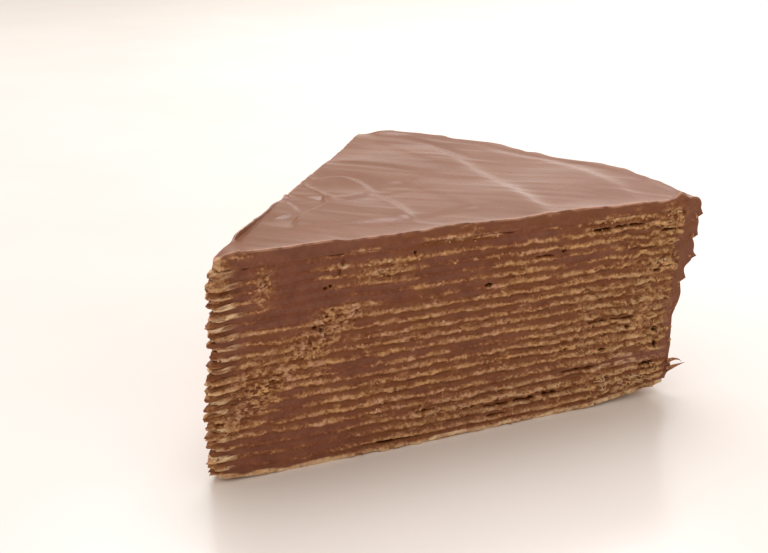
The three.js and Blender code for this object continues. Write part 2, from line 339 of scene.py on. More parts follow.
def crack_depth(layer, side, u, share, thickness):
    """Depth of the cracks between layers: grooves along a seam that narrow, break and open again."""
    depth = np.zeros(np.broadcast(u, share).shape)
    for crack_side, start, end, height, deep, half in CRACKS:
        level = int(np.argmin(np.abs(HEIGHTS - height)))
        if level not in (layer, layer + 1):
            continue
        away = thickness * (share if level == layer else 1 - share)
        length = span(u, start, start + CRACK_TAPER, end - CRACK_TAPER, end)
        ragged = np.clip(0.95 + 0.9 * noise(u / 1.8, level * 4.0, seed=31), 0.1, 1)
        breadth = half * (1 + 0.6 * noise(u / 1.1, level * 3.0, 5.0 * (level == layer), seed=32))
        depth += (side == crack_side) * deep * length * ragged * bell(away, breadth)
    return depth


def hole_depth(side, u, z):
    """Depth of single holes in the cut, each an oval pit with a steep ragged edge."""
    depth = np.zeros(np.broadcast(u, z).shape)
    ragged = 0.5 * noise(u / 0.6, z / 0.6, seed=33)
    for hole_side, middle, height, half_length, half_height, deep in HOLES:
        reach = ((u - middle) / half_length) ** 2 + ((z - height) / half_height) ** 2
        depth += (side == hole_side) * deep * ease(1.7, 0.4, reach + ragged)
    return depth


# Layer pieces

FRONT_STEPS = 600
BACK_STEPS = 420
NOSE_SHARE = 24  # steps of a face that belong to the tip
NOSE_REACH = 5.0
RIM_STEPS = 60
NOSE_STEPS = 14
WALL_ROWS = 8
RING_SHARES = (0.955, 0.7)  # how far out the rings of a layer's faces lie
RING_CENTRE = (66.0, 0.0)


def nose_radius(layer):
    """Radius of the rounded tip that touches both cut faces and ends where the CAD layer ends."""
    low = node_box(LAYERS[layer])[0]
    reach = low[0] - TIP_X - LEAN * HEIGHTS[layer] / TOTAL_HEIGHT
    return max(0.25, reach) / (1 / math.sin(HALF_ANGLE) - 1)


def layer_outline(radius):
    """A layer's edge seen from above, as a loop: front face, rim, back face and rounded tip.
    The faces are straight, the rim is a circle about the tip's axis, and a circle rounds the tip.
    Past the tip every layer has its points at the same distances, so that neighbours meet edge to edge.
    Returns distance along the face, side, position, outward direction and 1 on the rim, at each point."""
    start = radius / math.tan(HALF_ANGLE)
    front, back = (np.concatenate([np.linspace(start, NOSE_REACH, NOSE_SHARE, endpoint=False),
                                   np.linspace(NOSE_REACH, WAFER_RADIUS, steps - NOSE_SHARE)])
                   for steps in (FRONT_STEPS, BACK_STEPS))
    back = back[::-1]
    rim = np.linspace(-HALF_ANGLE, HALF_ANGLE, RIM_STEPS + 2)[1:-1]
    turn = np.linspace(math.pi / 2 + HALF_ANGLE, 1.5 * math.pi - HALF_ANGLE, NOSE_STEPS + 2)[1:-1]
    rim_out = np.stack([np.cos(rim), np.sin(rim)], 1)
    nose_out = np.stack([np.cos(turn), np.sin(turn)], 1)
    nose_centre = np.array([radius / math.sin(HALF_ANGLE), 0.0])
    spots = [front[:, None] * ALONG[-1], WAFER_RADIUS * rim_out,
             back[:, None] * ALONG[1], nose_centre + radius * nose_out]
    outs = [np.tile(OUTWARD[-1], (FRONT_STEPS, 1)), rim_out,
            np.tile(OUTWARD[1], (BACK_STEPS, 1)), nose_out]
    distance = [front, np.full(RIM_STEPS, WAFER_RADIUS), back, np.full(NOSE_STEPS, start)]
    side = [np.full(FRONT_STEPS, -1), np.full(RIM_STEPS, 1), np.full(BACK_STEPS, 1),
            np.where(np.sin(turn) < 0, -1, 1)]
    at_rim = [np.zeros(FRONT_STEPS), np.ones(RIM_STEPS), np.zeros(BACK_STEPS), np.zeros(NOSE_STEPS)]
    return [np.concatenate(part) for part in (distance, side, spots, outs, at_rim)]


TOP_WAFER_RISE = 0.35  # how far the top wafer's crumbs reach up into the icing's cut


def cut_surface(side, u, z, away, wafer):
    """The cut through the layers, as outward offset, bareness and darkness, the last a painted shade in
    pits, grooves, holes and gaps.
    Around each wafer's middle lies a bell-shaped ridge of wandering width, crumbly where the cut is bare.
    Between the ridges the cream is a hollow, deepest just under a ridge, with slanting knife waves.
    Torn places are loose crumbs and gaps instead, by noise that pays no heed to the layers."""
    open_cut = exposed(side, u, z)
    line = rough_noise(u / 8, wafer * 3.7, side * 3, seed=41, octaves=2)
    crumb = rough_noise(u / 1.4, z / 0.8, side * 7, seed=42, octaves=2)
    shatter = ease(*SHATTERED, u)
    centre = 0.22 * noise(u / 2.6, wafer * 5.1, side, seed=43)
    centre = centre + 0.12 * noise(u / 0.9, wafer * 4.7, side, seed=46)
    centre = centre * (1 + 1.2 * shatter)
    rise = TOP_WAFER_RISE * (1 + 1.6 * bell(u - 50, 14)) + 0.3 * noise(u / 5, side * 2.0, seed=48)
    centre = centre + rise * (wafer == len(LAYERS) - 1)
    uneven = rough_noise(u / 3.2, wafer * 2.3, side, seed=44)
    width = 0.54 + 0.3 * (open_cut - 0.4) + (0.24 + 0.24 * shatter) * uneven
    band = bell(away - centre, np.maximum(width, 0.2))
    stuck = 0.5 * ease(0.6, 1.05, open_cut + 0.5 * rough_noise(u / 3.0, z / 1.2, side * 7, seed=53))
    lumps = rough_noise(u / 1.7, z / 1.0, side * 7, seed=45)
    grains = ease(-0.1, 0.35, noise(u / 0.7, z / 0.55, side * 7, seed=49))
    grit = noise(u / 0.42, z / 0.34, side * 7, seed=50)
    broken = (0.1 + (0.3 + 0.14 * shatter) * open_cut) * crumb + 0.15 * open_cut * grit
    bare = band * ease(0.08, 0.85, open_cut + (0.3 + 0.22 * shatter) * line + broken)
    pits = ease(0.2, 0.55, noise(u / 1.0, z / 0.65, side * 7, seed=47))
    pits = pits * ease(0.35, 0.9, open_cut) * (0.35 + 0.65 * band)
    groove = bell(away - centre + 0.85, 0.3) * ease(0.25, 0.7, open_cut)
    holes = hole_depth(side, u, z)
    ridge = 0.1 + 0.32 * open_cut + (0.08 + 0.32 * open_cut) * lumps
    ridge = ridge + open_cut * (0.26 * grains + 0.08 * grit)
    drag = 0.1 * noise((u + 0.5 * z) / 4.5, (z - 0.5 * u) / 1.8, side * 7, seed=51)
    cream = -0.12 * open_cut + drag + 0.35 * stuck * grains
    offset = band * ridge + (1 - band) * cream - 0.45 * pits - 0.12 * groove * (1 - stuck) - holes
    # Painted shade: darker in the pits, in the groove under each ridge, in the cream between open ridges
    # and in the holes.
    shade = 0.5 * groove + 0.34 * (1 - band) * ease(0.25, 0.75, open_cut)
    dark = 0.45 * pits + shade * (1 - stuck) + holes
    bare = np.maximum(bare, stuck * (1 - band)) * (1 - np.clip(holes, 0, 1))
    torn = torn_share(side, u, z)
    loose = rough_noise(u / 0.8, z / 0.5, side * 7, seed=57, octaves=2)
    warp = 0.6 * noise(u / 1.5, z / 1.5, side * 7, seed=59)
    gaps = ease(0.3, 0.6, noise(u / 1.1 + warp, z / 0.55 - warp, side * 7, seed=58))
    rubble = 0.15 + 0.4 * loose + 0.2 * grains + 0.16 * grit - 0.4 * gaps - holes
    offset = offset + torn * (rubble - offset)
    bare = bare + torn * (0.95 * ease(-0.55, 0.3, loose + 0.35 * grit) * (1 - 0.5 * gaps) - bare)
    # In torn places the painted shade lies in the gaps, on the low crumbs and in the holes.
    dark = dark + torn * (0.4 * gaps + 0.2 * ease(0.1, -0.5, loose + 0.5 * grit) + holes - dark)
    return offset, bare, np.clip(dark, 0, 1)


def grid_faces(rows, columns):
    """Quads of a grid whose columns close to a ring, facing outwards for rows that run upwards."""
    row, column = np.meshgrid(np.arange(rows - 1), np.arange(columns), indexing="ij")
    after = (column + 1) % columns
    return np.stack([row * columns + column, row * columns + after,
                     (row + 1) * columns + after, (row + 1) * columns + column], -1).reshape(-1, 4)


def end_fans(rows, columns):
    """Triangles that close such a grid's first and last ring, on two points that follow its own."""
    here = np.arange(columns)
    after = (here + 1) % columns
    first_end, last_end = rows * columns, rows * columns + 1
    last = (rows - 1) * columns
    return np.concatenate([np.stack([np.full(columns, first_end), after, here], 1),
                           np.stack([np.full(columns, last_end), last + here, last + after], 1)])


SHARP_ANGLE = math.radians(55)


def new_piece(name, points, quads, triangles, **values):
    """A mesh object at the origin, from arrays of points, quads, triangles and named values per point."""
    mesh = bpy.data.meshes.new(name)
    corners = np.concatenate([quads.ravel(), triangles.ravel()])
    sizes = np.concatenate([np.full(len(quads), 4), np.full(len(triangles), 3)])
    mesh.vertices.add(len(points))
    mesh.vertices.foreach_set("co", np.asarray(points, dtype=np.float32).ravel())
    mesh.loops.add(len(corners))
    mesh.loops.foreach_set("vertex_index", corners.astype(np.int32))
    mesh.polygons.add(len(sizes))
    mesh.polygons.foreach_set("loop_start", (np.cumsum(sizes) - sizes).astype(np.int32))
    mesh.polygons.foreach_set("use_smooth", np.ones(len(sizes), dtype=bool))
    for label, data in values.items():
        attribute = mesh.attributes.new(label, "FLOAT", "POINT")
        attribute.data.foreach_set("value", np.asarray(data, dtype=np.float32).ravel())
    mesh.update(calc_edges=True)
    mesh.validate()
    mesh.set_sharp_from_angle(angle=SHARP_ANGLE)
    piece = bpy.data.objects.new(name, mesh)
    bpy.context.scene.collection.objects.link(piece)
    return piece


TONGUE = {"cream": 1.45, "wafer": 1.5}  # how far layers reach at the tip, past their plain round ends
TONGUE_FADE = 1.6
TIP_BULGE = 0.6  # how far the merged layers under the icing stand out past the axis
MERGED_HEIGHTS = (37, 39.5, 43.2, 44.3)


def kind_of(node):
    """The kind of layer that a node is, from its name: wafer or cream."""
    return node.split("_")[0]


def layer_piece(layer):
    """One layer as a closed skin: rows from the underside's centre out, up the cut wall and over the top.
    A wall point is the outline moved outwards by the knife's waves and the cut surface, less any crack.
    At the tip the cream is drawn out into a round tongue, by half an ellipse from seam to seam.
    Just under the icing the layers' tips are merged into one crumbly bulge instead."""
    node = LAYERS[layer]
    is_wafer = layer % 2 == 0
    u, side, spot, out, at_rim = layer_outline(nose_radius(layer))
    low = interface(layer, *spot.T)
    high = interface(layer + 1, *spot.T)
    share = np.linspace(0, 1, WALL_ROWS)[:, None]
    z = low + (high - low) * share
    along = np.broadcast_to(u, z.shape)
    if is_wafer:
        wafer = layer
        away = z - (low + high) / 2
    else:
        wafer = np.where(share < 0.5, layer - 1, layer + 1) + 0 * along
        below = (low + interface(layer - 1, *spot.T)) / 2
        above = (high + interface(layer + 2, *spot.T)) / 2
        away = np.where(share < 0.5, z - below, z - above)
    own, bare, dark = cut_surface(side, along, z, away, wafer)
    cracks = crack_depth(layer, side, along, share, high - low)
    offset = (knife_waves(side, along, z) + own - cracks) * (1 - at_rim)
    wall = spot[None] + out[None] * offset[..., None]
    from_tip = u - u.min()
    tip = bell(from_tip, TONGUE_FADE)
    wall[..., 0] -= tip * (0.45 * rough_noise(spot[:, 1] / 1.0, z / 0.8, seed=56, octaves=2)
                           + 0.32 * noise(spot[:, 1] / 0.4, z / 0.4, seed=60))
    vary = 0.45 + 1.0 * lattice(*np.array([[layer], [1], [1]]), 7)[0]
    reach = TONGUE[kind_of(node)] * vary * ease(0, 9, HEIGHTS[layer])
    reach = reach if is_wafer else reach * np.sqrt(1 - (2 * share - 1) ** 2)
    merged = 0.85 * span(z, *MERGED_HEIGHTS)
    wall[..., 0] -= tip * (reach + merged * (spot[:, 0].min() + TIP_BULGE - reach))
    rings = [RING_CENTRE + (spot - RING_CENTRE) * part for part in RING_SHARES]
    levels = (layer, layer + 1)
    under, over = ([leaned(*ring.T, interface(level, *ring.T)) for ring in rings] for level in levels)
    rows = under[::-1] + list(leaned(wall[..., 0], wall[..., 1], z)) + over
    poles = [leaned(*RING_CENTRE, interface(level, *RING_CENTRE)) for level in levels]
    points = np.concatenate([np.concatenate(rows), np.stack(poles)])
    count = len(u)

    def spread(field, rest):
        """Values on the wall, with one value for the hidden faces."""
        hidden = np.full((len(RING_SHARES), count), rest)
        return np.concatenate([np.concatenate([hidden, field, hidden]).ravel(), [rest, rest]])

    clean = ease(-0.3, 0.5, rough_noise(along / 2, z / 1.2, side * 5, seed=54))
    if layer == 0:
        # The bottom wafer is pale low down: partly its own uncoated colour, partly painted light from the
        # floor.
        pale = ease(1.2, 0.6, share + 0.5 * noise(along / 4, side * 3.0, seed=55)) * (0.6 + 0.4 * clean)
        flaked = ease(-0.8, 0.0, noise(along / 2, share * 2, side * 3.0, seed=70))
        pale = np.maximum(pale, ease(88, 98, along) * flaked)
    else:
        ragged = ease(-0.6, 0.4, rough_noise(along / 1.1, z / 0.5, side * 5, seed=68, octaves=2))
        # Painted glow: the wafers pale at the very tip, standing in for the light that comes round their
        # thin ends.
        painted_tip_glow = 1.2 * bell(from_tip, 1.2) + 0.6 * clean * bell(from_tip, 2.3)
        pale = np.clip(painted_tip_glow, 0, 1) * ragged * vary ** 0.5 * (1 - 0.5 * merged)
        for spot_side, amount, *place in PALE_SPOTS:
            pale = pale + (side == spot_side) * amount * blob(along, z, *place) * ragged
        pale = np.clip(pale, 0, 1) * is_wafer
    bare = np.maximum(bare, pale)
    # Painted shade in the cracks, on top of the cut's own painted shade.
    hollow = np.clip(cracks + dark, 0, 1)
    return new_piece(f"{node}_cut", points, grid_faces(len(rows), count), end_fans(len(rows), count),
                     bare=spread(bare, 0.8 * is_wafer), hollow=spread(hollow, 0.0),
                     pale=spread(pale, 0.3))


# The coat

COAT_GAP = 0.02  # between the coat and the layers
COAT_INSIDE = WAFER_RADIUS + COAT_GAP
SHOULDER_RADIUS = 2.2
COAT_FOOT = 3.7  # height where the coat ends on the rim
COAT_NOSE = 2.0  # where the coat's tip begins to round off, from the axis
NOSE_TURNS = np.radians([76, 56, 36, 18])  # of the rows that round off the coat's tip
NOSE_STEP = (-1.1, 0.0, -0.5)  # from there to its very end
# On the tip the pale value is a painted glow.
NOSE_LOOKS = {"cut": 0.8, "bare": 0.55, "hollow": 0.0, "pale": 0.35}  # least values on the tip
TIP_WEAR = 1.1  # how far the icing slopes down at the tip
TIP_WEAR_REACH = 3.2
RIM_COAT = {"shoulder": 4.0, "foot": 0.9}  # thickness
RIM_TAPER = 2.5
THINNEST_COAT = 0.25
CUT_RAGGEDNESS = 1.2  # how far from the cut the coat's skin follows its raggedness
EDGE_ROUNDING = 0.22
EDGE_CROWDING = 0.6  # how much closer the columns stand along the cut edges
ACROSS_STEPS = 180
TOP_STEPS = 330
SHOULDER_STEPS = 9
RIM_WALL_STEPS = 84
CAP_STEPS = 10
INNER_STEPS = 12

STROKES = (  # points from the tip's axis, crest height, crest width, step across it, reach of the step
    (((101.5, 30), (86.7, 1.9), (74.7, -20.4), (66, -34)), 0.12, 2.4, -0.42, 12),
    (((104.6, 14), (105.4, -8), (98, -27.5), (87, -45)), 0.12, 2.5, -0.28, 8),
    (((55.2, 8), (50, -4), (43, -15)), 0.2, 1.4, -0.36, 6),
    (((53.6, 26), (60.5, 21), (56, 8.8), (44, 7)), 0.08, 1.0, -0.42, 5),
    (((52, 27), (49.2, 22.8), (46.5, 14), (43, 8)), 0.15, 0.8, -0.1, 4),
    (((46.5, 14.5), (41, 9.6), (33.7, 8.1), (28.9, 5.8), (22.7, 1.1)), 0.05, 0.6, 0.5, 5),
    (((69, 35), (74.7, 22), (76, 13), (78, 4)), 0.0, 1.5, 0.14, 12),
    (((97, 46), (101, 36), (100, 22), (96, 8)), 0.0, 1.4, 0.22, 8),
    (((27, 0), (42, -10), (57, -16.5), (71, -25)), 0.0, 1.3, 0.11, 9),
    (((57, 11), (67, 9), (75, 6), (79, -9)), 0.0, 1.5, 0.13, 12),
    (((37, 17.5), (33, 10), (24, 8.5)), 0.04, 0.6, -0.2, 4),
    (((94, 40), (88, 22), (85, 8)), 0.03, 1.5, 0.08, 7),
    (((64, 30), (66, 6), (62, -12), (55, -24)), 0.03, 1.8, 0.08, 8),
)
MARK_STRENGTH = 1.25
MARK_FADE = (0, 0.12, 0.8, 1)  # shares of a mark's length
BOW_CENTRE = (20.0, -95.0)
BOW_SPACING = 33.0


def smooth_path(points, count=60):
    """Points along a smooth curve through the given ones: a cubic between each two of them,
    with its slope at each taken from the neighbours. The ends are mirrored outwards."""
    p = np.asarray(points, dtype=float)
    p = np.concatenate([2 * p[:1] - p[1:2], p, 2 * p[-1:] - p[-2:-1]])
    place = np.linspace(0, len(points) - 1 - 1e-9, count)
    i = place.astype(int)
    t = (place - i)[:, None]
    a, b, c, d = (p[i + k] for k in range(4))
    square, cube = 2 * a - 5 * b + 4 * c - d, 3 * b - a - 3 * c + d
    return 0.5 * (2 * b + (c - a) * t + square * t ** 2 + cube * t ** 3)


def stroke_relief(x, y, points, crest, width, step, reach):
    """A spatula mark: a narrow crest along a path, with the chocolate left higher on one side of it.
    Each point takes the nearest place on the path, and the mark fades towards the path's ends."""
    path = smooth_path(points)
    start, run = path[:-1], np.diff(path, axis=0)
    spots = np.stack([x.ravel(), y.ravel()], 1)[:, None]
    part = np.clip(((spots - start) * run).sum(-1) / (run ** 2).sum(-1), 0, 1)
    gap = spots - start - part[..., None] * run
    near = np.argmin((gap ** 2).sum(-1), axis=1)
    pick = np.arange(len(near))
    gap, run = gap[pick, near], run[near]
    across = np.sign(run[:, 0] * gap[:, 1] - run[:, 1] * gap[:, 0]) * np.hypot(*gap.T)
    place = (near + part[pick, near]) / len(start)
    fade = span(place, *MARK_FADE)
    edge = step * np.tanh(across / width) * np.exp(-np.abs(across) / reach)
    return (fade * (crest * bell(across, width) + edge)).reshape(x.shape)


def edge_distances(x, y):
    """Distances of points seen from above, from the tip's axis, the front cut and the back cut."""
    reach, turned = np.hypot(x, y), np.arctan2(y, x)
    return reach, reach * np.sin(HALF_ANGLE + turned), reach * np.sin(HALF_ANGLE - turned)


# Places on the icing: distances from the tip's axis, or such a distance, one from a cut and two radii
BURR_SPAN = (10, 13, 34, 42)
FAR_BURR_SPAN = (44, 50, 62, 80)
FRONT_DIP_SPAN = (25, 27.5, 32, 48)
FRONT_PEAK = (107.7, 0.2, 1.35, 1.1)
BACK_CURL = (43.6, 0.3, 1.2, 0.9)
FRONT_BANK = (84, 1, 15, 9)
BACK_BANK = (33, 0, 9, 6)
WORN_CORNER = (111, 0, 5, 5)
VALLEY_ANGLE = math.radians(-1)
VALLEY_HALF_WIDTH = math.radians(8)


def burr_share(reach):
    """How high the burr stands on the back edge, falling off from the tip towards the curl."""
    return span(reach, *BURR_SPAN) * (1 - 0.65 * ease(*BURR_SPAN[1:3], reach))


def edge_lips(x, y):
    """Lips along the cut edges, each highest at its edge and falling off inwards.
    The front one is wavy, with a dip in it and a torn peak by the rim.
    The back one is a thin burr between tip and middle that ends in a curl, with a lower one beyond."""
    reach, from_front, from_back = edge_distances(x, y)
    wave = 0.4 * noise(reach / 13, 0.5, seed=64) * np.exp(-from_front / 3)
    wave = wave + 0.12 * noise(reach / 3, 0.5, seed=69) * np.exp(-from_front / 1.2)
    wave = wave - 0.35 * span(reach, *FRONT_DIP_SPAN) * np.exp(-from_front / 2.5)
    near_tip = ease(70, 12, reach)
    lip = (0.18 + 0.32 * near_tip) * np.exp(-from_front / (1.3 + 2.2 * near_tip))
    lip = lip * (1 + 0.4 * noise(reach / 4, 0.5, seed=65))
    peak = 1.55 * blob(reach, from_front, *FRONT_PEAK)
    torn = 0.95 + 0.25 * noise(reach / 4, 0.5, seed=66) + 0.12 * noise(reach / 1.1, 0.5, seed=67)
    burr = torn * burr_share(reach) * ease(0.8, 0.5, from_back)
    far_burr = 0.35 * torn * span(reach, *FAR_BURR_SPAN) * bell(from_back, 0.5)
    curl = 0.6 * blob(reach, from_back, *BACK_CURL) + far_burr
    return wave + lip + peak + burr + curl


def raised_rim(x, y):
    """The icing rises towards the rim, less so along the front edge and in a valley down the middle.
    Two low banks stand along the cut edges, and the back corner is worn down."""
    reach, from_front, from_back = edge_distances(x, y)
    valley = 1 - 0.8 * bell(np.arctan2(y, x) - VALLEY_ANGLE, VALLEY_HALF_WIDTH)
    corner = 0.8 * blob(reach, from_back, *WORN_CORNER)
    banks = 0.55 * blob(reach, from_front, *FRONT_BANK) + 0.5 * blob(reach, from_back, *BACK_BANK)
    rise = np.clip((reach - 46) / 68, 0, 1) ** 1.7
    lip = 0.25 * ease(107.8, 110.2, reach) * ease(2, 8, from_front)
    return 1.25 * rise * ease(0, 20, from_front) * valley + banks - corner + lip


def icing_relief(x, y):
    """Height of the icing over its mean, as a sum: a raised rim, bowed sweeps, a slow swell,
    spatula marks, fine lines and edge lips."""
    bow = np.hypot(x - BOW_CENTRE[0], y - BOW_CENTRE[1]) / BOW_SPACING
    swell = 0.12 * np.cos(2 * np.pi * bow) + 0.3 * noise(x / 30, y / 30, seed=61)
    swell = swell + 0.13 * noise(x / 9, y / 9, seed=62)
    lines = 0.055 * noise((x + 0.4 * y) / 2.2, (y - 0.4 * x) / 26, seed=63)
    marks = MARK_STRENGTH * sum(stroke_relief(x, y, *stroke) for stroke in STROKES)
    return raised_rim(x, y) + swell + lines + edge_lips(x, y) + marks


CORNER_BUMPS = (  # down the rim's front corner: how far out, height, half height
    (1.3, 35, 2.6),
    (2.0, 32, 1.2),
    (-0.4, 18.9, 1.2),
    (1.3, 6.3, 1.6),
)
TOOTH_HEIGHT = 5.4
TOOTH_TOP = 42.0
TOOTH_HEIGHTS = (20, 25, 42, 45)  # where the coat is torn
SWEEP_SPACING = 19
SWEEP_SLANT = 0.45
SWEEP_HEIGHTS = (4, 10, 37, 45)
FOOT_WAVES = 0.9


def rim_thickness(angle, z):
    """Thickness of the coat on the rim: thick at the shoulder, thin lower down, lumpy, torn at the cuts.
    The tears are teeth that grow outwards as they go down and then break off.
    Slanting sweeps of the spatula grow along the rim in the same way.
    Bumps stand down the front corner."""
    share = np.clip((z - COAT_FOOT) / (TOTAL_HEIGHT - SHOULDER_RADIUS - COAT_FOOT), 0, 1)
    mean = RIM_COAT["foot"] + (RIM_COAT["shoulder"] - RIM_COAT["foot"]) * share ** RIM_TAPER
    arc = angle * WAFER_RADIUS
    lumps = 0.3 * rough_noise(arc / 11, z / 8, seed=71) + 0.1 * noise(arc / 2.5, z / 2.5, seed=72)
    from_cut = (HALF_ANGLE - np.abs(angle)) * WAFER_RADIUS
    front, back = angle < 0, angle > 0
    phase = (TOOTH_TOP - z) / TOOTH_HEIGHT + 0.35 * noise(arc / 3, z / 9, seed=73)
    tooth = np.floor(phase).astype(int)
    size = np.where(front, 1.0, 0.05 + 0.7 * lattice(tooth, 3 + 0 * tooth, 1 + 0 * tooth, 76))
    teeth = (phase - tooth) * size * span(z, *TOOTH_HEIGHTS)
    tears = 1.7 * (teeth - 0.15 * ease(*TOOTH_HEIGHTS[:2], z)) * np.exp(-from_cut / 6)
    wander = 3 * noise(z / 9, 0.5, seed=77) + 9 * noise(arc / 26, 0.5, seed=75)
    sweep = (arc + SWEEP_SLANT * z + wander) / SWEEP_SPACING
    part = sweep - np.floor(sweep)
    sweeps = 0.7 * span(z, *SWEEP_HEIGHTS) * (part * ease(1.0, 0.84, part) - 0.4)
    sweeps = sweeps + 0.14 * noise(arc / 24, z / 4, seed=78)
    bumps = sum(out * bell(z - height, half) for out, height, half in CORNER_BUMPS)
    corner = (bell(from_cut, 5) * ease(36, 43, z) + bumps * bell(from_cut, 4)) * front
    rounded = 1 - 0.65 * bell(from_cut, 4.5) * back
    return mean * rounded * (1 + lumps) + sweeps + corner + tears


def coat_looks(r, z, a, below_edge, stuck, dark):
    """How cut, bare, hollow and pale the coat is at each point, from radius, height and angle.
    Its cuts are crumbly. So is the burr on the back edge, in flakes, with a rough trough behind it.
    Along the front edge a pale band is a painted highlight, and the burr's crest is painted lit. Hollow
    is the cut's painted shade and the trough's, and the cut is darker past the rim."""
    on_cap = np.zeros(r.shape)
    on_cap[:, ACROSS_STEPS:ACROSS_STEPS + CAP_STEPS - 1] = 1
    on_cap[:, 1 - CAP_STEPS:] = 1
    from_back = r * np.sin(HALF_ANGLE - a)
    burr = burr_share(r) * (z > STACK_TOP) * (a > 0)
    flaky = ease(-0.5, 0.2, rough_noise(r / 1.3, a * 40, seed=79)) * ease(0.6, 0.25, below_edge)
    far_burr = 0.6 * span(r, 38, 44, 60, 80) * (z > STACK_TOP + 1) * (a > 0)
    crest = np.maximum(burr, far_burr) * ease(0.55, 0.3, from_back) * flaky
    trough = ease(0.05, 0.4, burr) * span(from_back, 0.5, 0.6, 0.7, 0.8 + 0.5 * burr)
    on_cap = np.maximum(on_cap, np.maximum(0.9 * crest, trough))
    stuck = np.maximum(stuck * (1 - trough), 0.8 * crest)
    # The coat's cut is darker past the rim, on top of the cut's painted shade, and the trough behind the
    # burr gets painted shade.
    smeared = (0.2 + 0.2 * noise(r / 1.5, z / 2.5, seed=82)) * (r > COAT_INSIDE)
    dark = np.maximum((dark + smeared) * (on_cap > 0.99), 0.5 * trough)
    # Painted highlight: a pale band along the front top edge, and painted light on the burr's crest.
    lip = bell(r * np.sin(HALF_ANGLE + a), 0.7) * (z > STACK_TOP + 1.2) * (1 - on_cap)
    lip = lip * ease(-0.6, 0.5, rough_noise(r / 2.5, 0.5, seed=80))
    lip = np.maximum(lip, 0.7 * crest)
    past_rim = 0.3 + 0.4 * ease(38, 41, z) * ease(112, 110, r)
    bare = on_cap * stuck * np.where(r > COAT_INSIDE, past_rim, 0.8)
    return {"cut": on_cap, "bare": bare, "hollow": on_cap * dark, "pale": lip}


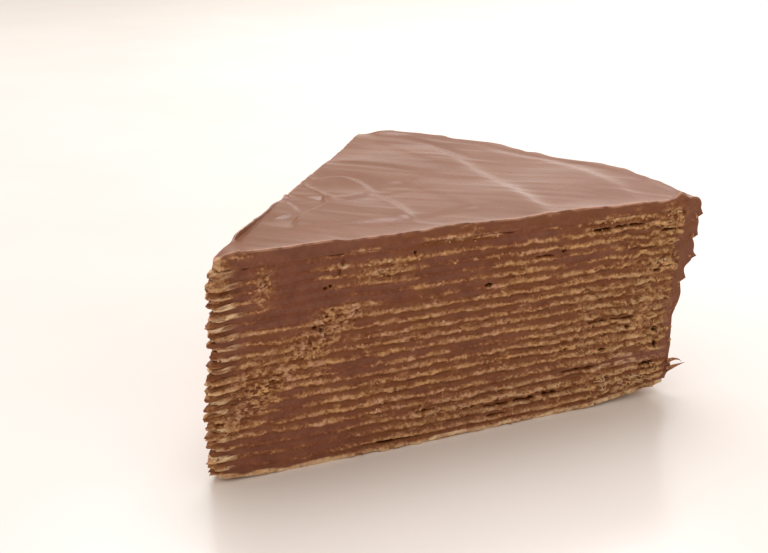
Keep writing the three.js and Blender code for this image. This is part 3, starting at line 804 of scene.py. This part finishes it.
def coat_piece():
    """The coat as a closed skin. Rows follow it from the tip over the top and the shoulder down the rim.
    Columns go round each row: across the outside, down one cut, back along the inside, up the other cut.
    The top's height is the icing's relief, the shoulder is a quarter turn, the rim has its thickness."""
    under = STACK_TOP + COAT_GAP
    across = np.linspace(0, 1, ACROSS_STEPS)
    crowded = across - EDGE_CROWDING * np.sin(2 * np.pi * across) / (2 * np.pi)
    angle = HALF_ANGLE * (2 * crowded - 1)
    shoulder_z = TOTAL_HEIGHT - SHOULDER_RADIUS
    shoulder_r = COAT_INSIDE + rim_thickness(angle, np.full(angle.shape, shoulder_z)) - SHOULDER_RADIUS

    # The outer skin, as radius and height
    top = np.linspace(0, 1, TOP_STEPS)[:, None]
    r_top = COAT_NOSE + (shoulder_r - COAT_NOSE) * top
    z_top = TOTAL_HEIGHT + icing_relief(r_top * np.cos(angle), r_top * np.sin(angle))
    z_top = z_top - TIP_WEAR * bell(r_top, TIP_WEAR_REACH)
    turn = (np.arange(1, SHOULDER_STEPS) / SHOULDER_STEPS * math.pi / 2)[:, None]
    r_turn = shoulder_r + SHOULDER_RADIUS * np.sin(turn)
    z_turn = shoulder_z + (z_top[-1] - shoulder_z) * np.cos(turn)
    foot = COAT_FOOT + FOOT_WAVES * noise(angle * 30, 0.5, seed=74)
    z_wall = shoulder_z + (foot - shoulder_z) * np.linspace(0, 1, RIM_WALL_STEPS)[:, None]
    thickness = rim_thickness(np.broadcast_to(angle, z_wall.shape), z_wall)
    r_wall = COAT_INSIDE + np.maximum(THINNEST_COAT, thickness)
    radius = np.concatenate([r_top, r_turn, r_wall])
    height = np.concatenate([z_top, z_turn, z_wall])

    # Its edges rounded off towards the cuts
    flat, upright = np.zeros(TOP_STEPS), np.full(RIM_WALL_STEPS, math.pi / 2)
    tilt = np.concatenate([flat, turn[:, 0], upright])[:, None]
    to_cut = radius * np.sin(HALF_ANGLE - np.abs(angle))
    inside = np.clip(EDGE_ROUNDING - to_cut, 0, EDGE_ROUNDING)
    drop = EDGE_ROUNDING - np.sqrt(EDGE_ROUNDING ** 2 - inside ** 2)
    radius = radius - drop * np.sin(tilt)
    height = height - drop * np.cos(tilt)

    # The inner skin
    upper = TOP_STEPS + SHOULDER_STEPS // 2
    lower = len(radius) + 1 - upper
    way = np.concatenate([np.linspace(0, 1, upper), np.linspace(1, 2, lower)[1:]])[:, None]
    back_angle = np.linspace(HALF_ANGLE, -HALF_ANGLE, INNER_STEPS)
    r_in = COAT_NOSE + (COAT_INSIDE - COAT_NOSE) * np.clip(way, 0, 1) + 0 * back_angle
    z_in = under + (COAT_FOOT - under) * np.clip(way - 1, 0, 1) + 0 * back_angle
    z_in = z_in + seam_waves(r_in * np.cos(back_angle), r_in * np.sin(back_angle)) * (way < 1)

    def cap(column, inner, from_out):
        """Rows of the cut through the coat, from one skin to the other."""
        t = np.arange(1, CAP_STEPS) / CAP_STEPS
        t = t if from_out else t[::-1]
        ends = [(a[:, column, None], b[:, inner, None]) for a, b in ((radius, r_in), (height, z_in))]
        return [a + (b - a) * t for a, b in ends]

    # The loops round both skins and both cuts, made ragged near the cuts
    r_back, z_back = cap(-1, 0, True)
    r_front, z_front = cap(0, -1, False)
    r = np.concatenate([radius, r_back, r_in, r_front], 1)
    z = np.concatenate([height, z_back, z_in, z_front], 1)
    on_cut = np.full(CAP_STEPS - 1, HALF_ANGLE)
    a = np.concatenate([angle, on_cut, back_angle, -on_cut])
    x, y = r * np.cos(a), r * np.sin(a)
    side = np.where(a < 0, -1, 1)
    near_cut = bell(r * np.sin(HALF_ANGLE - np.abs(a)), CUT_RAGGEDNESS)
    top_wafer = len(LAYERS) - 1
    away = z - (HEIGHTS[top_wafer] + STACK_TOP) / 2
    own, stuck, dark = cut_surface(side, r, z, away, top_wafer)
    ragged = knife_waves(side, r, z) + own
    x = x + OUTWARD[1][0] * ragged * near_cut
    y = y + side * OUTWARD[1][1] * ragged * near_cut
    skin = np.stack([x, y, z], -1)

    # The tip, where the first loop is drawn in along a quarter turn
    middle = skin[0].mean(0)
    turned = NOSE_TURNS[:, None, None]
    nose = middle + (skin[0] - middle) * np.cos(turned) + np.array(NOSE_STEP) * np.sin(turned)
    points = leaned(*np.moveaxis(np.concatenate([nose, skin]), -1, 0)).reshape(-1, 3)
    rows, count = len(NOSE_TURNS) + len(skin), skin.shape[1]
    ends = np.stack([points[:count].mean(0), points[-count:].mean(0)])
    points = np.concatenate([points, ends])

    looks = coat_looks(r, z, a, height[:, -1:] - z, stuck, dark)
    for label, field in looks.items():
        on_nose = np.repeat(np.maximum(field[:1], NOSE_LOOKS[label]), len(NOSE_TURNS), 0)
        looks[label] = np.append(np.concatenate([on_nose, field]).ravel(), [0, 0])
    quads, fans = grid_faces(rows, count), end_fans(rows, count)
    return new_piece("spread_chocolate", points, quads[:, ::-1], fans[:, ::-1], **looks)


# Crumbs, fibres and burrs

LUMP_RINGS = 4
LUMP_COLUMNS = 6
LUMP_SQUEEZE = ((0.8, 1.5), (0.6, 1.0), (0.3, 0.8))  # least and most along each axis


def random_turns(draw, count):
    """Random rotation matrices, from random unit quaternions."""
    q = draw.normal(size=(4, count))
    w, x, y, z = q / np.linalg.norm(q, axis=0)
    return np.stack([
        np.stack([1 - 2 * (y * y + z * z), 2 * (x * y - w * z), 2 * (x * z + w * y)], -1),
        np.stack([2 * (x * y + w * z), 1 - 2 * (x * x + z * z), 2 * (y * z - w * x)], -1),
        np.stack([2 * (x * z - w * y), 2 * (y * z + w * x), 1 - 2 * (x * x + y * y)], -1)], 1)


def joined_piece(name, points, rows, columns, values):
    """Many small closed grids in one mesh, from the points of each and one of every value for each."""
    count, each = points.shape[:2]
    start = (np.arange(count) * each)[:, None, None]
    per_point = {label: np.repeat(np.broadcast_to(data, count), each) for label, data in values.items()}
    return new_piece(name, points.reshape(-1, 3), (grid_faces(rows, columns) + start).reshape(-1, 4),
                     (end_fans(rows, columns) + start).reshape(-1, 3), **per_point)


def lumps_piece(name, centres, sizes, draw, **values):
    """Crumbs joined in one mesh. Each is a ball of a few rings whose radius is pushed about by noise,
    squeezed by its own factors along three axes and turned at random.
    Centres are in metres and sizes in millimetres."""
    count = len(centres)
    rise = np.linspace(0, math.pi, LUMP_RINGS + 2)[1:-1]
    turn = np.arange(LUMP_COLUMNS) * 2 * math.pi / LUMP_COLUMNS
    ring = np.stack([np.outer(np.sin(rise), np.cos(turn)), np.outer(np.sin(rise), np.sin(turn)),
                     np.outer(-np.cos(rise), np.ones(LUMP_COLUMNS))], -1).reshape(-1, 3)
    ball = np.concatenate([ring, [[0, 0, -1], [0, 0, 1]]])
    shift = draw.uniform(0, 900, (count, 1, 1))
    radius = 1 + 0.35 * noise(*np.moveaxis(ball[None] * 1.3 + shift, -1, 0), seed=81)
    squeeze = np.stack([draw.uniform(least, most, count) for least, most in LUMP_SQUEEZE], -1)
    local = ball[None] * radius[..., None] * squeeze[:, None] * np.asarray(sizes)[:, None, None] / 2
    points = np.einsum("nij,nkj->nki", random_turns(draw, count), local) * MM
    points = points + np.asarray(centres)[:, None]
    points[..., 2] = np.maximum(points[..., 2], 0)
    return joined_piece(name, points, LUMP_RINGS, LUMP_COLUMNS, values)


def tubes_piece(name, paths, widths, sides=5, **values):
    """Thin threads joined in one mesh: a ring of points carried along each path, closed at both ends.
    Paths are arrays of points in metres, and widths are radii in millimetres at those points."""
    count, steps = paths.shape[:2]
    along = np.gradient(paths, axis=1)
    along /= np.linalg.norm(along, axis=-1, keepdims=True)
    first = np.cross(along, np.array([0.31, 0.42, 0.85]))
    first /= np.linalg.norm(first, axis=-1, keepdims=True)
    second = np.cross(along, first)
    turn = np.arange(sides) * 2 * math.pi / sides
    ring = first[:, :, None] * np.cos(turn)[:, None] + second[:, :, None] * np.sin(turn)[:, None]
    points = paths[:, :, None] + ring * (widths * MM)[:, :, None, None]
    points = np.concatenate([points.reshape(count, -1, 3), paths[:, :1], paths[:, -1:]], 1)
    return joined_piece(name, points, steps, sides, values)


def by_side(directions, side):
    """One direction for each point, by the side it lies on."""
    return np.stack([directions[s] for s in SIDES])[(side > 0).astype(int)]


def face_points(side, u, z, out):
    """Points on a cut face in metres, standing out of it by a distance in millimetres."""
    spot = u[:, None] * by_side(ALONG, side) + out[:, None] * by_side(OUTWARD, side)
    return leaned(spot[:, 0], spot[:, 1], z)


CRUMB_TRIES = 420  # places tried on each wafer
FRONT_SHARE = 0.6  # of the crumbs


def wafer_crumbs():
    """Loose crumbs clinging to the cut faces, thickest where the wafers are broken open."""
    draw = np.random.default_rng(91)
    centres, sizes, bares = [], [], []
    for layer in range(0, len(LAYERS), 2):
        side = np.where(draw.random(CRUMB_TRIES) < FRONT_SHARE, -1, 1)
        u = draw.uniform(1.8, WAFER_RADIUS - 0.5, CRUMB_TRIES)
        share = draw.uniform(0.05, 0.95, CRUMB_TRIES)
        spot = u[:, None] * by_side(ALONG, side)
        low, high = interface(layer, *spot.T), interface(layer + 1, *spot.T)
        z = low + (high - low) * share
        own = cut_surface(side, u, z, z - (low + high) / 2, layer)[0]
        keep = draw.random(CRUMB_TRIES) < 0.9 * exposed(side, u, z) ** 4
        size = draw.uniform(0.25, 0.75, CRUMB_TRIES) ** 1.3 + 0.12
        out = knife_waves(side, u, z) + own - 0.05 * size
        centres.append(face_points(side, u, z, out)[keep])
        sizes.append(size[keep])
        bares.append(draw.uniform(0.25, 0.9, CRUMB_TRIES)[keep])
    bares = np.concatenate(bares)
    return lumps_piece("wafer_crumbs", np.concatenate(centres), np.concatenate(sizes), draw,
                       bare=bares, hollow=0.0, pale=0.4 * (bares > 0.84))


EDGE_CRUMBS = (  # along the top edges: side, from, to, how many, size
    (1, 16, 58, 8, 1.2),
    (1, 60, 108, 5, 1.0),
    (-1, 20, 32, 3, 1.3),
    (-1, 98, 112, 6, 1.1),
)
FLAKES = np.array([(5.0, -2.3), (7.3, -3.5)])  # on the icing by the tip
CURL_BITS = np.array([(43.2, 0.2, -0.4, 1.7), (44.3, -0.1, -0.7, 1.5)])  # distance, height, out, size
RIM_CRUMBS = 14
TIP_CRUMBS = 7


def chocolate_crumbs():
    """Broken bits of the coat: along both top edges, at the tip and down the cut corner of the rim."""
    draw = np.random.default_rng(92)
    centres, sizes = [], []
    for side, low, high, count, size in EDGE_CRUMBS:
        u = draw.uniform(low, high, count)
        z = TOTAL_HEIGHT - np.abs(draw.normal(0.2, 0.5, count)) - 0.3
        centres.append(face_points(np.full(count, side), u, z, draw.normal(-0.55, 0.2, count)))
        sizes.append(size * draw.uniform(0.5, 1.1, count))
    centres.append(leaned(*FLAKES.T, TOTAL_HEIGHT - 0.12 + icing_relief(*FLAKES.T)))
    sizes.append(draw.uniform(0.4, 0.7, len(FLAKES)))
    u, z, out, size = CURL_BITS.T
    centres.append(face_points(np.full(len(CURL_BITS), 1), u, TOTAL_HEIGHT + z, out))
    sizes.append(size)
    z = draw.uniform(8, 44, RIM_CRUMBS)
    u = COAT_INSIDE + rim_thickness(np.full(RIM_CRUMBS, -HALF_ANGLE), z) * 0.6
    centres.append(face_points(np.full(RIM_CRUMBS, -1), u, z, draw.normal(-0.25, 0.15, RIM_CRUMBS)))
    sizes.append(draw.uniform(0.7, 1.5, RIM_CRUMBS))
    side = np.where(draw.random(TIP_CRUMBS) < FRONT_SHARE, -1, 1)
    u = draw.uniform(0.5, 4.5, TIP_CRUMBS)
    z = draw.uniform(42, 45.5, TIP_CRUMBS)
    centres.append(face_points(side, u, z, draw.normal(-0.2, 0.15, TIP_CRUMBS)))
    sizes.append(draw.uniform(0.6, 1.3, TIP_CRUMBS))
    centres = np.concatenate(centres)
    return lumps_piece("chocolate_crumbs", centres, np.concatenate(sizes), draw,
                       cut=1.0, bare=draw.uniform(0.05, 0.6, len(centres)), hollow=0.0, pale=0.0)


FIBRE_COUNT = 30
FIBRE_STEPS = 12
FIBRE_PLACES = (89, 106)  # along the front cut
FIBRE_HEIGHTS = (3.6, 6.2)
FIBRE_LENGTHS = (1.2, 3.0)
FIBRE_WIDTHS = (0.08, 0.14)


def wafer_fibres():
    """Fuzzy threads of torn wafer low on the front cut near the rim.
    Each walks in small steps whose heading turns steadily, and arches out of the cut."""
    draw = np.random.default_rng(93)
    count, steps = FIBRE_COUNT, FIBRE_STEPS
    t = np.linspace(0, 1, steps)
    heading = draw.uniform(0, 2 * math.pi, (count, 1))
    heading = heading + draw.normal(0, 1, (count, 1)).clip(-2, 2) * 2.2 * t
    stride = draw.uniform(*FIBRE_LENGTHS, (count, 1)) / steps
    u = draw.uniform(*FIBRE_PLACES, (count, 1)) + np.cumsum(stride * np.cos(heading), axis=1)
    z = draw.uniform(*FIBRE_HEIGHTS, (count, 1)) + np.cumsum(0.6 * stride * np.sin(heading), axis=1)
    z = z + lift(u * ALONG[-1][0], u * ALONG[-1][1], z) * 0.6
    arch = draw.uniform(0.4, 1.2, (count, 1)) * np.sin(math.pi * t)
    arch = arch + draw.uniform(-0.2, 0.4, (count, 1)) * t
    side = np.full(count * steps, -1)
    paths = face_points(side, u.ravel(), z.ravel(), (0.15 + arch).ravel()).reshape(count, steps, 3)
    widths = draw.uniform(*FIBRE_WIDTHS, (count, 1)) * (1 - 0.6 * t)
    return tubes_piece("wafer_fibres", paths, widths, bare=draw.uniform(0.7, 1.0, count), hollow=0.0,
                       pale=draw.uniform(0.4, 1.0, count))


SPIKES = np.array([(4.4, 7.9, -1.1, 0.6), (5.4, 5.9, 0.5, 0.75)])  # length, height, bend, width
SPIKE_STEPS = 9


def chocolate_burrs():
    """Thin spikes pulled out of the rim's foot at the front corner: tapered, with a slight bend."""
    t = np.linspace(0, 1, SPIKE_STEPS)
    lengths, heights, bends, thick = SPIKES.T[..., None]
    u = WAFER_RADIUS + 0.6 + lengths * t
    z = heights + 0.5 * np.sin(2.4 * t) + bends * t ** 2.5
    out = 0.1 + 0.6 * t * (1 - t) + 0 * u
    paths = face_points(np.full(u.size, -1), u.ravel(), z.ravel(), out.ravel()).reshape(*u.shape, 3)
    widths = thick * (1 - t) ** 1.3 + 0.04
    return tubes_piece("chocolate_burrs", paths, widths, sides=7,
                       cut=1.0, bare=0.25, hollow=0.0, pale=0.0)


# Materials

def linear(*srgb):
    """A colour given as 0 to 255 screen values, as linear light with full alpha."""
    c = np.array(srgb) / 255
    return (*np.where(c <= 0.04045, c / 12.92, ((c + 0.055) / 1.055) ** 2.4), 1.0)


CHOCOLATE = linear(132, 77, 54)
CHOCOLATE_DARK = linear(116, 65, 43)
FILMED_WAFER = linear(160, 106, 67)
WAFER_BROWN = linear(180, 132, 88)
WAFER_TAN = linear(228, 179, 125)
WAFER_ROSE = linear(225, 175, 144)
WAFER_OLIVE = linear(222, 188, 130)
# Pale wafer, also used as painted glow at the layers' tips, on the coat's nose and burr crest, and partly
# on the bottom wafer.
WAFER_PALE = linear(243, 214, 174)
# Painted shade in cracks, pits, grooves, holes and the burr's trough; on the coat's cut it also darkens
# the part past the rim.
SHADE_AND_SMEAR_BROWN = linear(128, 72, 20)
# Painted highlight along the icing's front edge, on the burr's crest and on the coat's nose.
PAINTED_HIGHLIGHT_BROWN = linear(182, 130, 104)
ICING_DARK = linear(124, 75, 47)
ICING_LIGHT = linear(133, 82, 53)
ICING_STREAK = linear(112, 66, 41)
FLOOR_GREY = linear(236, 232, 228)
FLOOR_WHITE = linear(240, 237, 234)
LINE_ANGLE = math.radians(-28)  # of the fine spatula lines
LINE_SCALE = (420, 28, 60)


class Nodes:
    """A small builder for one node tree."""

    def __init__(self, tree):
        self.tree = tree

    def add(self, kind, values=None, **settings):
        """A node with its settings, and with its inputs linked or set."""
        node = self.tree.nodes.new(kind)
        for key, value in settings.items():
            setattr(node, key, value)
        for key, value in (values or {}).items():
            if isinstance(value, bpy.types.NodeSocket):
                self.tree.links.new(value, node.inputs[key])
            else:
                node.inputs[key].default_value = value
        return node

    def math(self, operation, a, b=0.0, clamp=False):
        """Two values combined."""
        node = self.add("ShaderNodeMath", {0: a, 1: b}, operation=operation, use_clamp=clamp)
        return node.outputs[0]

    def mix(self, share, a, b, blend="MIX"):
        """Two colours mixed by a share of the second."""
        node = self.add("ShaderNodeMix", {0: share, 6: a, 7: b}, data_type="RGBA", blend_type=blend)
        return node.outputs[2]

    def noise(self, place, scale, detail=3.0, roughness=0.55):
        """Noise in space, from 0 to 1."""
        values = {"Vector": place, "Scale": scale, "Detail": detail, "Roughness": roughness}
        return self.add("ShaderNodeTexNoise", values).outputs["Fac"]

    def range(self, value, low, high, to_low=0.0, to_high=1.0):
        """A value taken from one range to another and held at its ends."""
        values = {0: value, 1: low, 2: high, 3: to_low, 4: to_high}
        return self.add("ShaderNodeMapRange", values).outputs[0]

    def attribute(self, name):
        """A value that the piece keeps per point."""
        return self.add("ShaderNodeAttribute", attribute_name=name).outputs["Fac"]

    def place(self):
        """The point's place in the part's frame, in metres."""
        return self.add("ShaderNodeTexCoord").outputs["Object"]


def new_group(name, inputs, outputs):
    """A shader node group with its sockets, as its tree builder and its input and output nodes."""
    tree = bpy.data.node_groups.new(name, "ShaderNodeTree")
    for label, kind in inputs:
        tree.interface.new_socket(label, in_out="INPUT", socket_type=kind)
    for label, kind in outputs:
        tree.interface.new_socket(label, in_out="OUTPUT", socket_type=kind)
    nodes = Nodes(tree)
    return nodes, nodes.add("NodeGroupInput").outputs, nodes.add("NodeGroupOutput").inputs


def crumb_group():
    """Colour and grain of a cut: chocolate where smeared, warm brown under a film, tan where bare. Pale
    is clean wafer and painted glow, Hollow is mostly painted shade, and pores get painted shade too.
    """
    n, given, result = new_group(
        "crumbly_cut",
        [("Bare", "NodeSocketFloat"), ("Hollow", "NodeSocketFloat"), ("Pale", "NodeSocketFloat")],
        [("Colour", "NodeSocketColor"), ("Roughness", "NodeSocketFloat"), ("Height", "NodeSocketFloat")])
    place = n.place()
    fine = n.noise(place, 1400, 4, 0.65)
    patch = n.noise(place, 300, 3)
    chocolate = n.mix(n.range(patch, 0.35, 0.68), CHOCOLATE_DARK, CHOCOLATE)
    grain = n.range(fine, 0.32, 0.68, -0.34, 0.34)
    speckle = n.math("MULTIPLY", grain, n.range(given["Bare"], 0.0, 0.25, 0.3, 1.0))
    bare = n.math("ADD", given["Bare"], speckle, clamp=True)
    filmed = n.mix(n.range(bare, 0.0, 0.42), chocolate, FILMED_WAFER)
    along = n.add("ShaderNodeSeparateXYZ", {0: place}).outputs[0]
    rosy = n.mix(n.range(along, 0.0, 0.045), WAFER_ROSE, WAFER_OLIVE)
    hue = n.mix(n.range(n.noise(place, 240, 2), 0.4, 0.6), WAFER_TAN, rosy)
    wafer = n.mix(n.range(n.noise(place, 700, 3), 0.35, 0.65), WAFER_BROWN, hue)
    tan = n.mix(n.range(bare, 0.3, 0.8), filmed, wafer)
    # Painted shade in the bare wafer's small pores.
    pitted = n.range(n.noise(place, 1900, 2), 0.6, 0.72)
    pore_shade = n.math("MULTIPLY", pitted, n.range(bare, 0.2, 0.6, 0.0, 0.55))
    tan = n.mix(pore_shade, tan, CHOCOLATE_DARK)
    # Pale: clean wafer's own colour, and painted glow on edges that catch the light.
    colour = n.mix(n.math("MULTIPLY", given["Pale"], n.range(patch, 0.3, 0.6)), tan, WAFER_PALE)
    # Painted shade: hollows darkened towards a deep brown, the deepest multiplied darker still.
    with_shade = n.mix(n.range(given["Hollow"], 0.0, 0.5, 0.0, 0.75), colour, SHADE_AND_SMEAR_BROWN)
    hole = n.mix(1.0, with_shade, CHOCOLATE_DARK, "MULTIPLY")
    link = n.tree.links.new
    link(n.mix(n.range(given["Hollow"], 0.6, 1.0, 0.0, 0.8), with_shade, hole), result["Colour"])
    link(n.range(bare, 0, 1, 0.45, 0.85), result["Roughness"])
    link(n.math("MULTIPLY", fine, n.range(bare, 0, 1, 0.15, 1.0)), result["Height"])
    return n.tree


def new_material(name):
    """A material with its tree builder and its shader's inputs."""
    material = bpy.data.materials.new(name)
    material.use_nodes = True
    nodes = Nodes(material.node_tree)
    return material, nodes, material.node_tree.nodes["Principled BSDF"].inputs


def crumbly(n, group):
    """The crumbly group placed in a material, fed with the piece's own values."""
    cut = n.add("ShaderNodeGroup", node_tree=group)
    for label in ("Bare", "Hollow", "Pale"):
        n.tree.links.new(n.attribute(label.lower()), cut.inputs[label])
    return cut.outputs


def cut_material(name, group, specular, translucence):
    """Material of the cut layers, with a little light passing through their thin edges."""
    material, n, bsdf = new_material(name)
    cut = crumbly(n, group)
    link = n.tree.links.new
    bump = n.add("ShaderNodeBump", {"Strength": 0.7, "Distance": 0.0004, "Height": cut["Height"]})
    link(cut["Colour"], bsdf["Base Color"])
    link(cut["Roughness"], bsdf["Roughness"])
    link(bump.outputs["Normal"], bsdf["Normal"])
    bsdf["Specular IOR Level"].default_value = specular
    bsdf["Subsurface Weight"].default_value = translucence
    bsdf["Subsurface Radius"].default_value = (1.0, 0.55, 0.3)
    bsdf["Subsurface Scale"].default_value = 0.0007
    return material


def coat_material(group):
    """Set chocolate: satin, with faint clouds, fine spatula lines, a painted highlight where pale, and
    the crumbly group on cuts.
    """
    material, n, bsdf = new_material("set_chocolate")
    cut = crumbly(n, group)
    on_cut = n.attribute("cut")
    place = n.place()
    cloud = n.noise(place, 60, 3)
    turned = {"Vector": place, "Rotation": (0, 0, LINE_ANGLE), "Scale": LINE_SCALE}
    swept = n.add("ShaderNodeMapping", turned)
    streak = n.noise(swept.outputs[0], 1.0, 3, 0.6)
    fine = n.noise(place, 900, 3)
    link = n.tree.links.new
    spread = n.mix(n.range(cloud, 0.3, 0.7), ICING_DARK, ICING_LIGHT)
    spread = n.mix(n.range(streak, 0.35, 0.7, 0.0, 0.35), spread, ICING_STREAK)
    # Painted highlight where the coat is pale.
    spread = n.mix(n.attribute("pale"), spread, PAINTED_HIGHLIGHT_BROWN)
    link(n.mix(on_cut, spread, cut["Colour"]), bsdf["Base Color"])
    satin = n.range(cloud, 0.3, 0.7, 0.22, 0.3)
    rough = n.add("ShaderNodeMix", {0: on_cut, 2: satin, 3: cut["Roughness"]})
    link(rough.outputs[0], bsdf["Roughness"])
    bump = n.add("ShaderNodeBump", {"Strength": 0.2, "Distance": 0.0002, "Height": fine})
    link(bump.outputs["Normal"], bsdf["Normal"])
    bsdf["Specular IOR Level"].default_value = 0.36
    return material


def floor_material():
    """A pale smooth floor with hardly visible clouds."""
    material, n, bsdf = new_material("pale_floor")
    cloud = n.range(n.noise(n.place(), 12, 2), 0.3, 0.7)
    n.tree.links.new(n.mix(cloud, FLOOR_GREY, FLOOR_WHITE), bsdf["Base Color"])
    bsdf["Roughness"].default_value = 0.22
    bsdf["Specular IOR Level"].default_value = 1.0
    return material


# Stage

CAMERA_PLACE = (-183.3, -151.4, 113.7)  # in millimetres
CAMERA_HEADING = math.radians(40.35)
CAMERA_PITCH = math.radians(19.84)
IMAGE_WIDTH = 768
FOCAL_PIXELS = 1100
SENSOR = 36.0


def add_camera():
    """The camera that the photo's outline gives."""
    data = bpy.data.cameras.new("camera")
    data.sensor_width = SENSOR
    data.lens = SENSOR * FOCAL_PIXELS / IMAGE_WIDTH
    data.clip_start = 0.01
    camera = bpy.data.objects.new("camera", data)
    camera.location = [c * MM for c in CAMERA_PLACE]
    camera.rotation_euler = (math.pi / 2 - CAMERA_PITCH, 0, CAMERA_HEADING - math.pi / 2)
    bpy.context.scene.collection.objects.link(camera)
    bpy.context.scene.camera = camera


LAMP_PLACE = np.array([0.38, 0.32, 0.8])
LAMP_TARGET = np.array([0, 0, 0.02])
LAMP_SIZE = 0.7
LAMP_WATTS = 5.9
LAMP_COLOUR = (0.97, 0.985, 1.02)


def add_lamp():
    """One wide square lamp above, turned to face the slice."""
    data = bpy.data.lights.new("overhead", "AREA")
    data.shape = "RECTANGLE"
    data.size = data.size_y = LAMP_SIZE
    data.energy = LAMP_WATTS
    data.color = LAMP_COLOUR
    lamp = bpy.data.objects.new("overhead", data)
    lamp.location = LAMP_PLACE
    toward = LAMP_TARGET - LAMP_PLACE
    tilt = math.acos(-toward[2] / np.linalg.norm(toward))
    lamp.rotation_euler = (tilt, 0, math.atan2(toward[1], toward[0]) - math.pi / 2)
    bpy.context.scene.collection.objects.link(lamp)


HORIZON_LIGHT = (0.84, 0.74, 0.655, 1)
MIDDLE_LIGHT = (0.43, 0.38, 0.335, 1)
ZENITH_LIGHT = (1.05, 0.955, 0.875, 1)
MIDDLE_HEIGHT = 0.4
ROOM_STRENGTH = 1.04
FLOOR_REACH = 8.0
GLOWS = (  # soft lights low in the room: direction, where each begins and is full, colour
    ((0.975, 0.22, 0.0), 0.74, 0.97, (1.28, 1.15, 1.07, 1)),
    ((0.88, 0.32, -0.35), 0.87, 0.96, (2.2, 2.0, 1.86, 1)),
    ((-0.62, 0.75, 0.22), 0.6, 0.95, (1.22, 1.13, 1.04, 1)),
)


def add_stage():
    """The room's light, a pale floor and the lamp.
    The room is bright overhead, less so at the horizon and dimmest between them, with soft glows."""
    world = bpy.data.worlds.new("room")
    world.use_nodes = True
    background = world.node_tree.nodes["Background"].inputs
    n = Nodes(world.node_tree)
    direction = n.add("ShaderNodeTexCoord").outputs["Generated"]
    height = n.add("ShaderNodeSeparateXYZ", {0: direction}).outputs[2]
    low = n.mix(n.range(height, 0.0, MIDDLE_HEIGHT), HORIZON_LIGHT, MIDDLE_LIGHT)
    lit = n.mix(n.range(height, MIDDLE_HEIGHT, 1.0), low, ZENITH_LIGHT)
    for toward, begin, full, colour in GLOWS:
        facing = n.add("ShaderNodeVectorMath", {0: direction, 1: toward}, operation="DOT_PRODUCT")
        lit = n.mix(n.range(facing.outputs["Value"], begin, full), lit, colour)
    world.node_tree.links.new(lit, background["Color"])
    background["Strength"].default_value = ROOM_STRENGTH
    bpy.context.scene.world = world
    mesh = bpy.data.meshes.new("floor")
    corners = [(FLOOR_REACH * x, FLOOR_REACH * y, 0) for x, y in ((-1, -1), (1, -1), (1, 1), (-1, 1))]
    mesh.from_pydata(corners, [], [(0, 1, 2, 3)])
    floor = bpy.data.objects.new("floor", mesh)
    bpy.context.scene.collection.objects.link(floor)
    mesh.materials.append(floor_material())
    add_lamp()
    bpy.context.scene.view_settings.view_transform = "Standard"


# The whole slice

def dress(piece, kind, finishes, node=None):
    """Gives a piece its material and its body, and hides the node that it stands for, if any."""
    piece.data.materials.append(finishes[kind])
    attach(piece, "root")
    if node:
        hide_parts(node)


def main():
    """Every piece of the slice, then the stage and the camera."""
    group = crumb_group()
    finishes = {
        "wafer": cut_material("broken_wafer", group, specular=0.2, translucence=0.1),
        "cream": cut_material("cut_cream", group, specular=0.35, translucence=0.05),
        "coat": coat_material(group),
    }
    for layer, node in enumerate(LAYERS):
        dress(layer_piece(layer), kind_of(node), finishes, node)
    dress(coat_piece(), "coat", finishes, COAT)
    dress(wafer_crumbs(), "wafer", finishes)
    dress(wafer_fibres(), "wafer", finishes)
    dress(chocolate_crumbs(), "coat", finishes)
    dress(chocolate_burrs(), "coat", finishes)
    add_stage()
    add_camera()


main()
